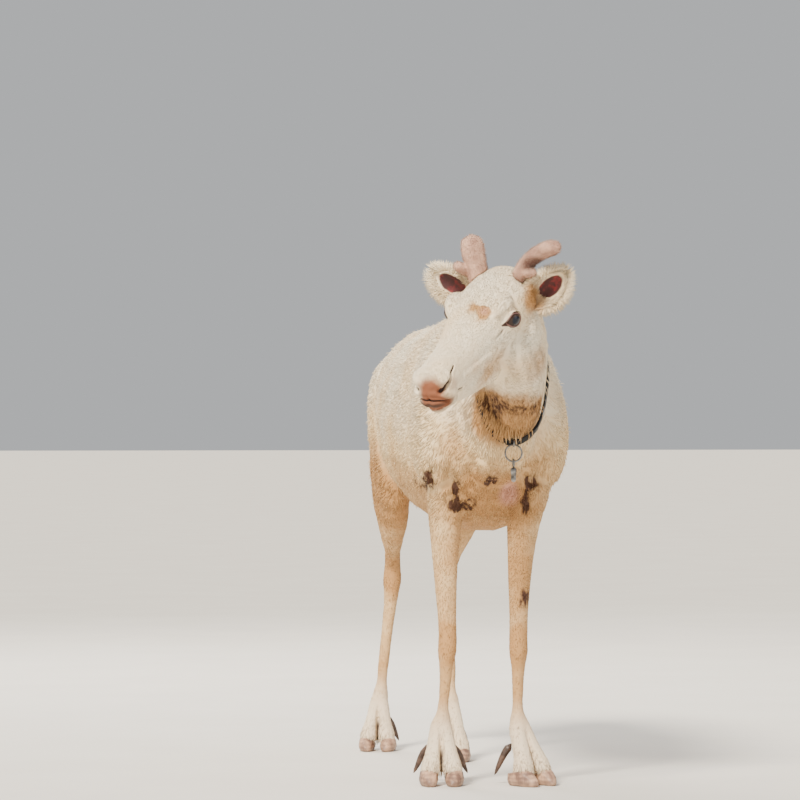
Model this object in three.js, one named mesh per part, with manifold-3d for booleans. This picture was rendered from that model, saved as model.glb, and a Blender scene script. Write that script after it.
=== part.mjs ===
// A young white reindeer, standing, as a still life-size model.
// Millimetres. The animal faces -Y, its left is +X, and it stands on z = 0.
// Its flesh is a set of closed bodies swept along paths, joined and then parted where a person
// would name the parts, with a gap of 0.3 mm between neighbours.
import * as THREE from "three";
import { mergeVertices } from "three/addons/utils/BufferGeometryUtils.js";
import Module from "manifold-3d";

const wasm = await Module();
wasm.setup();

// Driving sizes
const GAP = 0.3; // between neighbours that touch
const WITHERS = 968; // height of the back over the front legs
const BRISKET = 506; // height of the underside of the chest
const RUMP_Y = 950; // the back of the buttocks, with the front legs at about y = 90
const CHEST_X = 12; // the chest stands a little to the left of the hips, as the trunk bends
const LEFT = 1;
const RIGHT = -1;
const X_AXIS = new THREE.Vector3(1, 0, 0);

// The head's own frame: forward along the line from the eyes to the nose, left, and up.
const EYES_MIDDLE = new THREE.Vector3(-55, -285, 939);
const HEAD_TURN = THREE.MathUtils.degToRad(42.5); // to the animal's right
const HEAD_DIP = THREE.MathUtils.degToRad(35.4);
const HEAD_TILT = THREE.MathUtils.degToRad(6.2); // the left eye is the lower one
const headTurn = new THREE.Quaternion()
  .setFromAxisAngle(new THREE.Vector3(0, 0, 1), -HEAD_TURN)
  .multiply(new THREE.Quaternion().setFromAxisAngle(X_AXIS, HEAD_DIP))
  .multiply(new THREE.Quaternion().setFromAxisAngle(new THREE.Vector3(0, -1, 0), -HEAD_TILT));
const headForward = new THREE.Vector3(0, -1, 0).applyQuaternion(headTurn);
const headLeft = new THREE.Vector3(1, 0, 0).applyQuaternion(headTurn);
const headUp = new THREE.Vector3(0, 0, 1).applyQuaternion(headTurn);

// Sizes on the head
const NOSE = 238; // from the eyes to the tip of the nose
const EYE_R = 17;
const EYE_OUT = 66; // from the middle of the head to an eye's centre
const EYE_BACK = -5;
const EYE_UP = -1;
const LID = 4;
const EAR_LENGTH = 92;
const EAR_WALL = 3.5;
const FRINGE_COUNT = 15; // locks round the rim of an ear
const FRINGE_WIDTH = 10;
const MOUTH_CUT = 2.2;

// Sizes on the legs and feet
const KNEE = 262; // where a front leg's upper part meets its cannon
const HOCK = 352;
const FRONT_PASTERN = 142; // where the cannon meets the foot, just over the fetlock
const HIND_PASTERN = 136;
const HOOF_LENGTH = 82;
const CORONET = 32; // height of the hoof at its front edge
const CLAW_OUT = 25; // from the middle of the foot to the middle of a claw

// Sizes of the collar
const STRAP_WIDTH = 15;
const STRAP_THICK = 3.5;

// A point in the head's frame, as a place in the animal's.
function onHead([forward, left, up]) {
  return EYES_MIDDLE.clone()
    .addScaledVector(headForward, forward)
    .addScaledVector(headLeft, left)
    .addScaledVector(headUp, up);
}

// A geometry as a solid that can be joined and cut, turned the right way out.
function solid(geometry) {
  const bare = geometry.clone();
  bare.deleteAttribute("normal");
  bare.deleteAttribute("uv");
  const merged = mergeVertices(bare, 1e-3);
  const corners = new Uint32Array(merged.index.array);
  const make = () =>
    new wasm.Manifold(
      new wasm.Mesh({ numProp: 3, vertProperties: merged.attributes.position.array, triVerts: corners }),
    );
  const made = make();
  if (made.volume() > 0) return made;
  for (let i = 0; i < corners.length; i += 3)
    [corners[i + 1], corners[i + 2]] = [corners[i + 2], corners[i + 1]];
  return make();
}

// A solid back as a geometry.
function geometryOf(made) {
  const mesh = made.getMesh();
  const geometry = new THREE.BufferGeometry();
  const places = new Float32Array(mesh.numVert * 3);
  for (let i = 0; i < mesh.numVert; i++)
    places.set(mesh.vertProperties.subarray(i * mesh.numProp, i * mesh.numProp + 3), i * 3);
  geometry.setAttribute("position", new THREE.BufferAttribute(places, 3));
  geometry.setIndex(new THREE.BufferAttribute(mesh.triVerts, 1));
  geometry.computeVertexNormals();
  return geometry;
}

const join = (...pieces) => pieces.flat().reduce((whole, piece) => whole.add(piece));
const cutFrom = (whole, ...pieces) => pieces.flat().reduce((left, piece) => left.subtract(piece), whole);

// The largest closed surface of a solid: loose scraps and sealed hollows are dropped.
function largest(made) {
  return made.decompose().reduce((best, next) => (next.volume() > best.volume() ? next : best));
}

// Two pieces of a solid, in front of a plane and behind it, a gap apart.
function part(made, normal, through) {
  const n = normal.clone().normalize();
  const level = n.dot(through);
  return [
    made.trimByPlane(n.toArray(), level + GAP / 2),
    made.trimByPlane(n.clone().negate().toArray(), -level + GAP / 2),
  ];
}

// A closed body swept along stations. Each has its centre, its half width across, and how far it
// reaches up and down, at right angles to the path. "square" above 2 makes its section boxier, and
// "pinch" narrows its lower half. A ball is stretched over the path, so the ends are round over the
// share "cap" of its length. "grow" swells it on all sides.
function sweep(stations, options = {}) {
  const { across = X_AXIS, sides = 12, rings = 10, square = 2, pinch = 0, cap = 0.12, grow = 0 } = options;
  const path = new THREE.CatmullRomCurve3(stations.map((s) => s.at.clone()));
  const sizes = new THREE.CatmullRomCurve3(stations.map((s) => new THREE.Vector3(s.half, s.up, s.down)));
  const base = new THREE.SphereGeometry(1, sides, rings);
  const places = base.attributes.position;
  for (let i = 0; i < places.count; i++) {
    const t = Math.acos(THREE.MathUtils.clamp(places.getY(i), -1, 1)) / Math.PI;
    const end = Math.min(1, Math.min(t, 1 - t) / cap);
    const round = Math.sqrt(Math.max(0, 1 - (1 - end) ** 2));
    const step = (2 * Math.PI) / sides;
    const turn = Math.round(Math.atan2(places.getZ(i), places.getX(i)) / step) * step;
    const centre = path.getPoint(t);
    const size = sizes.getPoint(t);
    const along = path.getTangent(t);
    if (grow) centre.addScaledVector(along, grow * Math.sign(t - 0.5) * (1 - end));
    const side = across.clone().addScaledVector(along, -across.dot(along)).normalize();
    const up = new THREE.Vector3().crossVectors(along, side);
    const c = Math.cos(turn);
    const s = Math.sin(turn);
    const wide = Math.sign(c) * Math.abs(c) ** (2 / square);
    const tall = Math.sign(s) * Math.abs(s) ** (2 / square);
    const narrow = 1 - pinch * Math.max(0, -tall);
    const spot = centre
      .addScaledVector(side, (size.x + grow) * wide * round * narrow)
      .addScaledVector(up, ((tall > 0 ? size.y : size.z) + grow) * tall * round);
    places.setXYZ(i, spot.x, spot.y, spot.z);
  }
  return solid(base);
}

// A station: x, y, z, half width, and how far it reaches up and down (or forward and back on a leg).
const at = (x, y, z, half, up, down = up) => ({ at: new THREE.Vector3(x, y, z), half, up, down });
// The same in the head's frame: forward, left, up.
const onHeadAt = (f, l, u, half, up, down = up) => ({ at: onHead([f, l, u]), half, up, down });

// An ellipsoid in the head's frame.
function headBall([f, l, u], [long, wide, tall], sides = 12, rings = 8, grow = 0) {
  const ball = new THREE.SphereGeometry(1, sides, rings).scale(long + grow, wide + grow, tall + grow);
  const place = new THREE.Matrix4().makeBasis(headForward, headLeft, headUp).setPosition(onHead([f, l, u]));
  return solid(ball.applyMatrix4(place));
}

// The trunk: a barrel from the rump to the breast, with the shoulders and haunches on it.
function trunk(grow = 0) {
  const barrel = sweep(
    [
      at(0, RUMP_Y, 812, 50, 60, 74),
      at(0, 922, 806, 94, 96, 116),
      at(0, 858, 792, 130, 142, 150),
      at(4, 760, 770, 148, 176, 178),
      at(14, 630, 750, 168, 198, 192),
      at(20, 490, 734, 188, 212, 205),
      at(22, 350, 730, 190, 222, 730 - BRISKET - 4),
      at(18, 220, 730, 174, 236, 730 - BRISKET),
      at(CHEST_X, 115, 730, 150, WITHERS - 730, 214),
      at(CHEST_X, 40, 722, 124, 205, 180),
      at(CHEST_X, -25, 705, 88, 136, 116),
      at(CHEST_X, -64, 692, 40, 66, 56),
    ],
    { sides: 22, rings: 22, cap: 0.07, square: 2.15, grow },
  );
  const shoulders = [LEFT, RIGHT].map((side) =>
    sweep(
      [
        at(CHEST_X + side * 62, 128, 925, 26, 46, 50),
        at(CHEST_X + side * 96, 108, 850, 42, 66, 72),
        at(CHEST_X + side * 120, 78, 755, 44, 80, 92),
        at(CHEST_X + side * 121, 56, 675, 45, 74, 92),
        at(CHEST_X + side * 104, 80, 596, 38, 50, 66),
      ],
      { sides: 12, rings: 9, cap: 0.24, grow },
    ),
  );
  const haunches = [LEFT, RIGHT].map((side) => {
    const stride = side === LEFT ? -34 : 0; // the left hind leg is set forward
    return sweep(
      [
        at(side * 62, 838, 888, 40, 84, 60),
        at(side * 88, 822, 806, 58, 122, 92),
        at(side * 96, 800 + stride, 712, 55, 120, 108),
        at(side * 96, 782 + 2 * stride, 628, 42, 96, 92),
      ],
      { sides: 12, rings: 9, cap: 0.24, grow },
    );
  });
  return join(barrel, shoulders, haunches);
}

// The neck, from inside the shoulders to inside the skull. It bends to the right as it rises.
function neck(grow = 0) {
  return sweep(
    [
      at(CHEST_X, 90, 775, 104, 160, 205),
      at(CHEST_X + 8, -5, 812, 90, 140, 186),
      at(CHEST_X + 20, -90, 852, 70, 118, 156),
      at(26, -160, 893, 70, 100, 130),
      at(3, -215, 932, 68, 82, 108),
      at(-20, -252, 955, 50, 62, 84),
    ],
    { sides: 20, rings: 12, cap: 0.1, pinch: 0.02, square: 2.3, grow },
  );
}

// The skull with the cheeks, brows, lips and chin, before anything is cut into it.
function skull(grow = 0) {
  const face = sweep(
    [
      onHeadAt(-152, 0, -36, 50, 42, 66),
      onHeadAt(-112, 0, -30, 66, 68, 104),
      onHeadAt(-62, 0, -24, 71, 72, 120),
      onHeadAt(-10, 0, -20, 69, 68, 124),
      onHeadAt(38, 0, -26, 60, 66, 112),
      onHeadAt(84, 0, -32, 49, 64, 90),
      onHeadAt(128, 0, -34, 41, 60, 70),
      onHeadAt(170, 0, -30, 39, 54, 50),
      onHeadAt(206, 0, -25, 40, 45, 40),
      onHeadAt(NOSE - 4, 0, -22, 28, 30, 28),
    ],
    { across: headLeft, sides: 24, rings: 20, cap: 0.05, pinch: 0.42, square: 2.35, grow },
  );
  const pairs = [LEFT, RIGHT].flatMap((side) => [
    headBall([-28, side * 42, -80], [62, 25, 52], 10, 7, grow), // cheek
    headBall([198, side * 23, -12], [27, 17, 24], 10, 7, grow), // wing of the nostril
    sweep(
      [
        onHeadAt(-42, side * 52, 20, 7, 10),
        onHeadAt(-6, side * 61, 29, 12, 12),
        onHeadAt(34, side * 48, 22, 7, 10),
      ],
      { across: headLeft, sides: 8, rings: 6, cap: 0.35, grow },
    ), // brow
    headBall(
      [EYE_BACK, side * EYE_OUT, EYE_UP],
      [EYE_R + 2 * LID, EYE_R + LID, EYE_R + LID],
      12,
      9,
      grow,
    ), // lids
  ]);
  const lips = headBall([200, 0, -38], [36, 42, 22], 14, 7, grow);
  const chin = headBall([188, 0, -60], [34, 29, 17], 12, 7, grow);
  return join(face, pairs, lips, chin);
}

// What is cut into the skull: the openings between the lids, the nostrils and the line of the mouth.
function faceCuts() {
  const pairs = [LEFT, RIGHT].flatMap((side) => [
    headBall([EYE_BACK, side * EYE_OUT, EYE_UP], [EYE_R + GAP, EYE_R + GAP, EYE_R + GAP], 12, 9),
    headBall([EYE_BACK + 2, side * (EYE_OUT + EYE_R), EYE_UP], [19, 14, 14], 12, 8), // between the lids
    sweep(
      [
        onHeadAt(14, side * 80, -6, 4, 3),
        onHeadAt(32, side * 71, -9, 4, 2),
        onHeadAt(52, side * 61, -12, 3, 1),
      ],
      { across: headLeft, sides: 6, rings: 5, cap: 0.2 },
    ), // the tear duct that runs forward from the eye
    sweep(
      [
        onHeadAt(170, side * 38, 3, 4, 2),
        onHeadAt(188, side * 37, -3, 7, 3.5),
        onHeadAt(209, side * 27, -11, 9, 5.5),
        onHeadAt(224, side * 13, -18, 7, 4),
      ],
      { across: headLeft, sides: 8, rings: 8, cap: 0.16 },
    ), // nostril
    sweep(
      [
        onHeadAt(NOSE + 2, side * -6, -44, 10, MOUTH_CUT),
        onHeadAt(226, side * 27, -47, 8, MOUTH_CUT),
        onHeadAt(200, side * 42, -51, 6, MOUTH_CUT),
        onHeadAt(172, side * 41, -56, 5, MOUTH_CUT),
        onHeadAt(142, side * 37, -65, 4, 1.2),
      ],
      { across: headLeft, sides: 6, rings: 10, cap: 0.08 },
    ), // half of the mouth
  ]);
  return pairs;
}

// Flat tapered lock of hair from a root, bending from one direction to another.
function lock(root, along, bend, flatFace, length, width) {
  const tip = root.clone().addScaledVector(along, length * 0.95).addScaledVector(bend, length * 0.25);
  const middle = root.clone().addScaledVector(along, length * 0.5).addScaledVector(bend, length * 0.04);
  const start = root.clone().addScaledVector(along, -length * 0.22);
  const thick = width * 0.32;
  return sweep(
    [
      { at: start, half: width * 0.45, up: thick, down: thick },
      { at: middle, half: width * 0.5, up: thick, down: thick },
      { at: tip, half: width * 0.12, up: 0.5, down: 0.5 },
    ],
    { across: flatFace, sides: 4, rings: 4, cap: 0.2 },
  );
}

// An ear: a cupped leaf with a fringe of hair on its rim. "along" runs to its tip, and "open" is
// where its cup faces.
function ear(base, along, open) {
  const a = along.clone().normalize();
  const across = new THREE.Vector3().crossVectors(open, a).normalize();
  const face = new THREE.Vector3().crossVectors(a, across).normalize();
  const spot = (share, lift, half, up, down) => ({
    at: base.clone().addScaledVector(a, EAR_LENGTH * share).addScaledVector(face, lift),
    half,
    up,
    down,
  });
  const turned = new THREE.Vector3().crossVectors(a, across).dot(face) > 0 ? across : across.negate();
  const leaf = sweep(
    [
      spot(-0.22, -2, 14, 12, 13),
      spot(0.08, 0, 19, 12, 17),
      spot(0.36, 0, 28, 9, 22),
      spot(0.66, 1, 31, 6, 18),
      spot(0.9, 4, 22, 4, 10),
      spot(1, 6, 9, 3, 4),
    ],
    { across: turned, sides: 12, rings: 10, cap: 0.12 },
  );
  const cup = sweep(
    [
      spot(0.12, 10, 8, 14, 9),
      spot(0.26, 8, 16, 16, 17),
      spot(0.42, 7, 29 - EAR_WALL, 20, 25 - EAR_WALL),
      spot(0.68, 8, 31 - EAR_WALL, 20, 21 - EAR_WALL),
      spot(0.92, 12, 15, 16, 12),
    ],
    { across: turned, sides: 10, rings: 8, cap: 0.16 },
  );
  const fringe = [];
  for (let i = 0; i < FRINGE_COUNT; i++) {
    const share = i / (FRINGE_COUNT - 1);
    const turn = (share - 0.5) * 1.76 * Math.PI;
    const reach = 0.54 + 0.4 * Math.cos(turn);
    const wide = 28 * Math.sin(turn);
    const root = base
      .clone()
      .addScaledVector(a, EAR_LENGTH * reach)
      .addScaledVector(turned, wide)
      .addScaledVector(face, 1 + 3 * Math.max(0, Math.cos(turn)));
    const out = a
      .clone()
      .multiplyScalar(Math.cos(turn) + 0.55)
      .addScaledVector(turned, Math.sin(turn))
      .normalize();
    const length = 15 + 5 * Math.abs(Math.sin(i * 2.3)) + 3 * Math.cos(turn);
    const flatFace = new THREE.Vector3().crossVectors(out, face).normalize();
    const bend = a.clone().addScaledVector(face, 0.5 * Math.sin(i * 1.7));
    fringe.push(lock(root, out, bend, flatFace, length, FRINGE_WIDTH));
  }
  return join(cutFrom(leaf, cup), fringe);
}

// A growing antler in velvet: a beam with a round tip, and the bud of its brow tine.
const ANTLERS = {
  left: {
    beam: [
      onHeadAt(-88, 36, 8, 16, 16),
      onHeadAt(-100, 47, 36, 14.5, 15),
      onHeadAt(-112, 68, 62, 14, 14.5),
      onHeadAt(-118, 98, 81, 14.5, 15),
      onHeadAt(-114, 127, 95, 13.5, 14.5),
      onHeadAt(-110, 147, 101, 11, 12),
    ],
    tine: [onHeadAt(-98, 54, 36, 7, 7), onHeadAt(-92, 74, 46, 8, 8), onHeadAt(-88, 92, 55, 7, 7)],
  },
  right: {
    beam: [
      onHeadAt(-88, -44, 4, 22, 22),
      onHeadAt(-102, -53, 40, 21, 21),
      onHeadAt(-118, -61, 70, 23, 22),
      onHeadAt(-133, -67, 98, 18, 18),
    ],
    tine: [onHeadAt(-96, -60, 32, 10, 10), onHeadAt(-84, -76, 50, 10, 10), onHeadAt(-76, -82, 66, 8, 8)],
  },
};

// A leg from inside the trunk to just under the fetlock. "heading" is where its foot points, in
// degrees to the animal's left, and "dew" is how far its dew claws stand out.
const FRONT_LEGS = {
  left: {
    foot: { heading: 30, fetlock: [75, 77], scale: 1, dew: 0.95 },
    x: [104, 96, 86, 79, 75, 73, 72.5, 72.5, 72.5, 72.5, 73, 75, 79],
    forward: 10,
  },
  right: {
    foot: { heading: -6, fetlock: [-81, 100], scale: 1, dew: 1.3 },
    x: [-80, -72, -72, -73, -72, -70, -69, -70, -72, -74, -77, -79, -81],
    forward: -12,
  },
};
const FRONT_LEVELS = [
  // height, y, half width, front, back
  [650, 62, 42, 66, 80],
  [592, 78, 42, 52, 64],
  [540, 86, 37, 41, 47],
  [470, 84, 29, 31, 33],
  [400, 80, 24, 25, 27],
  [335, 76, 20.5, 23, 23],
  [300, 75, 20.5, 25, 22],
  [272, 75, 21, 26, 23],
  [236, 78, 15.5, 18, 19],
  [190, 83, 13, 15, 18],
  [152, 87, 15, 17, 20],
  [112, 86, 20, 19, 24],
  [80, 80, 17, 16, 20],
];
const HIND_LEGS = {
  left: {
    foot: { heading: -8, fetlock: [14, 642], scale: 0.92, dew: 1 },
    stations: [
      at(74, 800, 745, 54, 110, 96),
      at(78, 752, 690, 52, 108, 96),
      at(76, 706, 632, 46, 92, 86),
      at(64, 694, 572, 38, 66, 66),
      at(47, 704, 505, 30, 45, 45),
      at(29, 724, 445, 19, 30, 34),
      at(20, 736, 410, 19, 25, 38),
      at(17, 733, 380, 22, 27, 34),
      at(17, 716, 335, 16.5, 21, 25),
      at(16, 692, 250, 14, 17, 20),
      at(15, 662, 168, 14, 16, 19),
      at(15, 646, 112, 19, 18, 22),
      at(14, 636, 78, 16, 15, 18),
    ],
  },
  right: {
    foot: { heading: -13, fetlock: [-109, 930], scale: 0.92, dew: 1.05 },
    stations: [
      at(-82, 826, 745, 54, 112, 96),
      at(-94, 806, 690, 52, 112, 96),
      at(-101, 786, 622, 46, 96, 88),
      at(-101, 798, 562, 39, 72, 68),
      at(-91, 842, 500, 31, 50, 47),
      at(-84, 896, 445, 19, 32, 35),
      at(-80, 924, 410, 19, 26, 38),
      at(-80, 933, 378, 22, 27, 33),
      at(-83, 934, 335, 16.5, 21, 25),
      at(-93, 934, 250, 14, 17, 20),
      at(-102, 932, 168, 14, 16, 19),
      at(-108, 929, 112, 19, 18, 22),
      at(-110, 920, 78, 16, 15, 18),
    ],
  },
};

function legSweep(stations) {
  return sweep(stations, { sides: 12, rings: 22, cap: 0.03 });
}

function frontStations({ x, forward }) {
  return FRONT_LEVELS.map(([z, y, half, front, back], i) => at(x[i], y - forward, z, half, front, back));
}

// A toe from the fetlock to inside its hoof.
function toe(spot, left, side, grow = 0) {
  return sweep(
    [
      spot(-6, side * 4, 150, 11, 13, 16),
      spot(8, side * 8, 106, 17, 18, 22),
      spot(26, side * 13, 74, 18, 17, 22),
      spot(42, side * 20, 46, 18, 17, 24),
      spot(50, side * CLAW_OUT, 12, 18, 20, 28),
    ],
    { across: left, sides: 10, rings: 8, cap: 0.1, grow },
  );
}

// A foot below the fetlock: two toes, two hooves and two dew claws, made in the foot's own frame
// (forward, outward, up) over the place of the fetlock.
function foot({ heading, fetlock, scale, dew }, leg) {
  const turn = THREE.MathUtils.degToRad(heading);
  const forward = new THREE.Vector3(Math.sin(turn), -Math.cos(turn), 0);
  const left = new THREE.Vector3(Math.cos(turn), Math.sin(turn), 0);
  const spot = (f, l, u, half, up, down = up) => ({
    at: new THREE.Vector3(fetlock[0], fetlock[1], 0)
      .addScaledVector(forward, f * scale)
      .addScaledVector(left, l * scale)
      .setZ(u * scale),
    half: half * scale,
    up: up * scale,
    down: down * scale,
  });
  const toes = [LEFT, RIGHT].map((side) => toe(spot, left, side));
  const slope = forward.clone().multiplyScalar(-0.17).setZ(1).normalize();
  const coronet = spot(58, 0, CORONET, 1, 1).at;
  const flesh = join(leg, toes);
  const [above] = part(flesh, slope, coronet);
  const hooves = [LEFT, RIGHT].map((side) => {
    const claw = sweep(
      [
        spot(6, side * 22, 10, 15, 30, 14),
        spot(26, side * (CLAW_OUT + 0.5), 12, 19.5, 34, 16),
        spot(52, side * (CLAW_OUT + 1), 12, 19.5, 27, 16),
        spot(76, side * (CLAW_OUT - 2), 8, 13, 12, 12),
        spot(6 + HOOF_LENGTH, side * (CLAW_OUT - 7), 3, 5, 3, 6),
      ],
      { across: left, sides: 10, rings: 7, cap: 0.16, square: 2.3 },
    );
    const half = cutFrom(claw, otherHalf(spot, forward, left, side));
    const below = part(half, slope, coronet)[1];
    return { side, solid: largest(below.trimByPlane([0, 0, 1], 0)) };
  });
  const dews = [LEFT, RIGHT].map((side) => ({
    side,
    solid: largest(
      cutFrom(
        sweep(
          [
            spot(-4, side * 14, 84, 8, 10),
            spot(-14, side * 27 * dew, 62, 7.5, 8),
            spot(-23, side * 36 * dew, 36, 5.5, 5.5),
            spot(-28, side * 44 * dew, 15, 1.5, 1.5),
          ],
          { across: left, sides: 6, rings: 6, cap: 0.12 },
        ),
        join(leg, toe(spot, left, LEFT, GAP), toe(spot, left, RIGHT, GAP)),
      ),
    ),
  }));
  return { flesh: above, hooves, dews };
}

// The half of a foot that holds the other claw. It is cut off each claw to keep the two apart.
function otherHalf(spot, forward, left, side) {
  const centre = spot(40, -side * 29, 20, 1, 1).at;
  const back = forward.clone().negate();
  const axes = new THREE.Matrix4().makeBasis(left, back, new THREE.Vector3(0, 0, 1));
  return solid(new THREE.BoxGeometry(60, 160, 120).applyMatrix4(axes.setPosition(centre)));
}

// Materials
const finish = (color, roughness, metalness = 0) =>
  new THREE.MeshStandardMaterial({ color, roughness, metalness });
const coat = finish(0xe6dac6, 0.85);
const velvet = finish(0xb48f86, 0.9);
const horn = finish(0xb7937c, 0.55);
const darkHorn = finish(0x3f2a22, 0.5);
const eyeball = finish(0x14131a, 0.08);
const leather = finish(0x17151a, 0.6);
const steel = finish(0x8d9096, 0.35, 1);

const reindeer = new THREE.Group();
function node(name, made, material) {
  const mesh = new THREE.Mesh(geometryOf(largest(made)), material);
  mesh.name = name;
  reindeer.add(mesh);
}

// Trunk, neck and head, parted by two planes.
const body = join(trunk(), neck(), skull());
const NECK_ROOT = {
  normal: new THREE.Vector3(0, -0.947, 0.325),
  through: new THREE.Vector3(CHEST_X, -40, 800),
};
const HEAD_ROOT = {
  normal: new THREE.Vector3(-0.48, -0.877, 0.013),
  through: new THREE.Vector3(-10, -195, 940),
};
const [ahead, trunkBody] = part(body, NECK_ROOT.normal, NECK_ROOT.through);
const [headBody, neckBody] = part(ahead, HEAD_ROOT.normal, HEAD_ROOT.through);
const headSolid = largest(cutFrom(headBody, faceCuts()));
const grownSkull = skull(GAP);
const grownTrunk = trunk(GAP);
const grownNeck = neck(GAP);
node("torso", trunkBody, coat);
node("neck", neckBody, coat);
node("head", headSolid, coat);

// Eyes
for (const [side, word] of [[LEFT, "left"], [RIGHT, "right"]]) {
  node("eye_" + word, headBall([EYE_BACK, side * EYE_OUT, EYE_UP], [EYE_R, EYE_R, EYE_R], 12, 9), eyeball);
}

// Ears
const EARS = {
  left: { base: onHead([-92, 66, -24]), along: [-0.35, 0.75, 0.6], open: [0.9, 0.35, 0.25] },
  right: { base: onHead([-85, -72, -18]), along: [0.02, -0.82, 0.57], open: [0.85, 0.05, 0.35] },
};
const inHead = ([f, l, u]) =>
  new THREE.Vector3().addScaledVector(headForward, f).addScaledVector(headLeft, l).addScaledVector(headUp, u);
for (const [word, { base, along, open }] of Object.entries(EARS)) {
  node("ear_" + word, cutFrom(ear(base, inHead(along), inHead(open)), grownSkull, grownNeck), coat);
}

// Antlers, each split at its fork
for (const [word, { beam, tine }] of Object.entries(ANTLERS)) {
  const options = { across: headForward, sides: 12, rings: 10, cap: 0.16 };
  node("antler_" + word + "_beam", cutFrom(sweep(beam, options), grownSkull), velvet);
  const beamGrown = sweep(beam, { ...options, grow: GAP });
  const bud = sweep(tine, { ...options, sides: 10, rings: 7, cap: 0.3 });
  node("antler_" + word + "_tine", cutFrom(bud, beamGrown, grownSkull), velvet);
}

// Legs, parted at the knee or hock and at the fetlock
for (const [word, spec] of Object.entries(FRONT_LEGS)) {
  legNodes("front", word, legSweep(frontStations(spec)), spec.foot, KNEE, FRONT_PASTERN);
}
for (const [word, spec] of Object.entries(HIND_LEGS)) {
  legNodes("hind", word, legSweep(spec.stations), spec.foot, HOCK, HIND_PASTERN);
}
function legNodes(end, word, leg, footSpec, joint, pasternTop) {
  const made = foot(footSpec, leg);
  const up = new THREE.Vector3(0, 0, 1);
  const outside = cutFrom(made.flesh, grownTrunk);
  const [upper, rest] = part(outside, up, new THREE.Vector3(0, 0, joint));
  const [shin, pastern] = part(rest, up, new THREE.Vector3(0, 0, pasternTop));
  node(end + "_leg_" + word + "_upper", upper, coat);
  node(end + "_leg_" + word + "_cannon", shin, coat);
  node(end + "_foot_" + word, pastern, coat);
  for (const { side, solid: claw } of made.hooves) {
    node(end + "_hoof_" + word + (side === LEFT ? "_l" : "_r"), claw, horn);
  }
  for (const { side, solid: dew } of made.dews) {
    node(end + "_dewclaw_" + word + (side === LEFT ? "_l" : "_r"), dew, darkHorn);
  }
}

// Collar: a strap round the neck, lying on it, with a buckle and a ring for a lead.
// A band lies between two skins over the neck, and between two planes across it.
const COLLAR_AXIS = new THREE.Vector3(0, -0.97, 0.242).normalize();
const COLLAR_MIDDLE = new THREE.Vector3(30, -112, 835);
function band(inner, outer, width) {
  const level = COLLAR_AXIS.dot(COLLAR_MIDDLE);
  const shell = neck(outer).subtract(neck(inner)).subtract(grownTrunk);
  return shell
    .trimByPlane(COLLAR_AXIS.toArray(), level - width / 2)
    .trimByPlane(COLLAR_AXIS.clone().negate().toArray(), -level - width / 2);
}
function block(centre, size, side) {
  const up = new THREE.Vector3().crossVectors(COLLAR_AXIS, side).normalize();
  const flat = new THREE.Vector3().crossVectors(up, COLLAR_AXIS).normalize();
  const box = new THREE.BoxGeometry(...size);
  return solid(box.applyMatrix4(new THREE.Matrix4().makeBasis(flat, COLLAR_AXIS, up).setPosition(centre)));
}
const strap = band(GAP, GAP + STRAP_THICK, STRAP_WIDTH);
node("collar_strap", strap, leather);
const BUCKLE_AT = new THREE.Vector3(88, -118, 762);
const BUCKLE_SIDE = new THREE.Vector3(0.86, -0.1, -0.5);
const BUCKLE_WIDTH = 23;
const overStrap = band(STRAP_THICK + 2 * GAP, 2 * STRAP_THICK + 2 * GAP, BUCKLE_WIDTH);
const BUCKLE_LENGTH = 30;
const FRAME_WIRE = 4.5;
const PRONG = 3;
const rim = overStrap
  .intersect(block(BUCKLE_AT, [90, 60, BUCKLE_LENGTH], BUCKLE_SIDE))
  .subtract(block(BUCKLE_AT, [90, STRAP_WIDTH - 1, BUCKLE_LENGTH - 2 * FRAME_WIRE], BUCKLE_SIDE));
const prong = overStrap.intersect(block(BUCKLE_AT, [90, PRONG, BUCKLE_LENGTH - FRAME_WIRE], BUCKLE_SIDE));
node("collar_buckle", rim.add(prong), steel);

// The strap's free end lies on it below the buckle.
const FREE_END_AT = new THREE.Vector3(71, -129, 734);
const FREE_END_LENGTH = 34;
const doubled = band(STRAP_THICK + 2 * GAP, 2 * STRAP_THICK + 2 * GAP, STRAP_WIDTH - 2);
const freeEnd = block(FREE_END_AT, [90, 60, FREE_END_LENGTH], BUCKLE_SIDE);
node("collar_free_end", doubled.intersect(freeEnd), leather);

// A half loop on the strap's outside carries the ring, and a swivel hangs in the ring. Each link
// rests in the one above it, a gap apart.
const LINK_X = 30;
const LINK_Y = -150;
const LOOP = { z: 693, radius: 7, wire: 1.7 };
const RING = { radius: 17, wire: 2.1 };
const EYELET = { radius: 7.5, wire: 2.2 };
const hang = (above, below) => above.z - above.radius + above.wire + GAP - below.radius + below.wire;
RING.z = hang(LOOP, RING);
EYELET.z = hang(RING, EYELET);
function link({ radius, wire, z }, sideways, grow = 0) {
  const ring = new THREE.TorusGeometry(radius, wire + grow, 6, 16);
  if (sideways) ring.rotateY(Math.PI / 2);
  else ring.rotateX(Math.PI / 2);
  return solid(ring.translate(LINK_X, LINK_Y, z));
}
const roundStrap = band(-STRAP_THICK, STRAP_THICK + 2 * GAP, STRAP_WIDTH + 2 * GAP);
node("collar_loop", link(LOOP, true).subtract(roundStrap), steel);
node("collar_ring", link(RING, false), steel);
node("swivel_eyelet", link(EYELET, true), steel);
const SWIVEL_END = 614;
const swivelTop = EYELET.z - EYELET.radius + 1;
const swivel = sweep(
  [
    at(LINK_X, LINK_Y, swivelTop, 4.5, 4.5),
    at(LINK_X, LINK_Y, swivelTop - 9, 6.5, 6.5),
    at(LINK_X, LINK_Y, swivelTop - 18, 5, 5),
    at(LINK_X, LINK_Y, SWIVEL_END, 6, 6),
  ],
  { sides: 10, rings: 9, cap: 0.14 },
);
node("swivel_body", swivel.subtract(link(EYELET, true, GAP)), steel);

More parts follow.
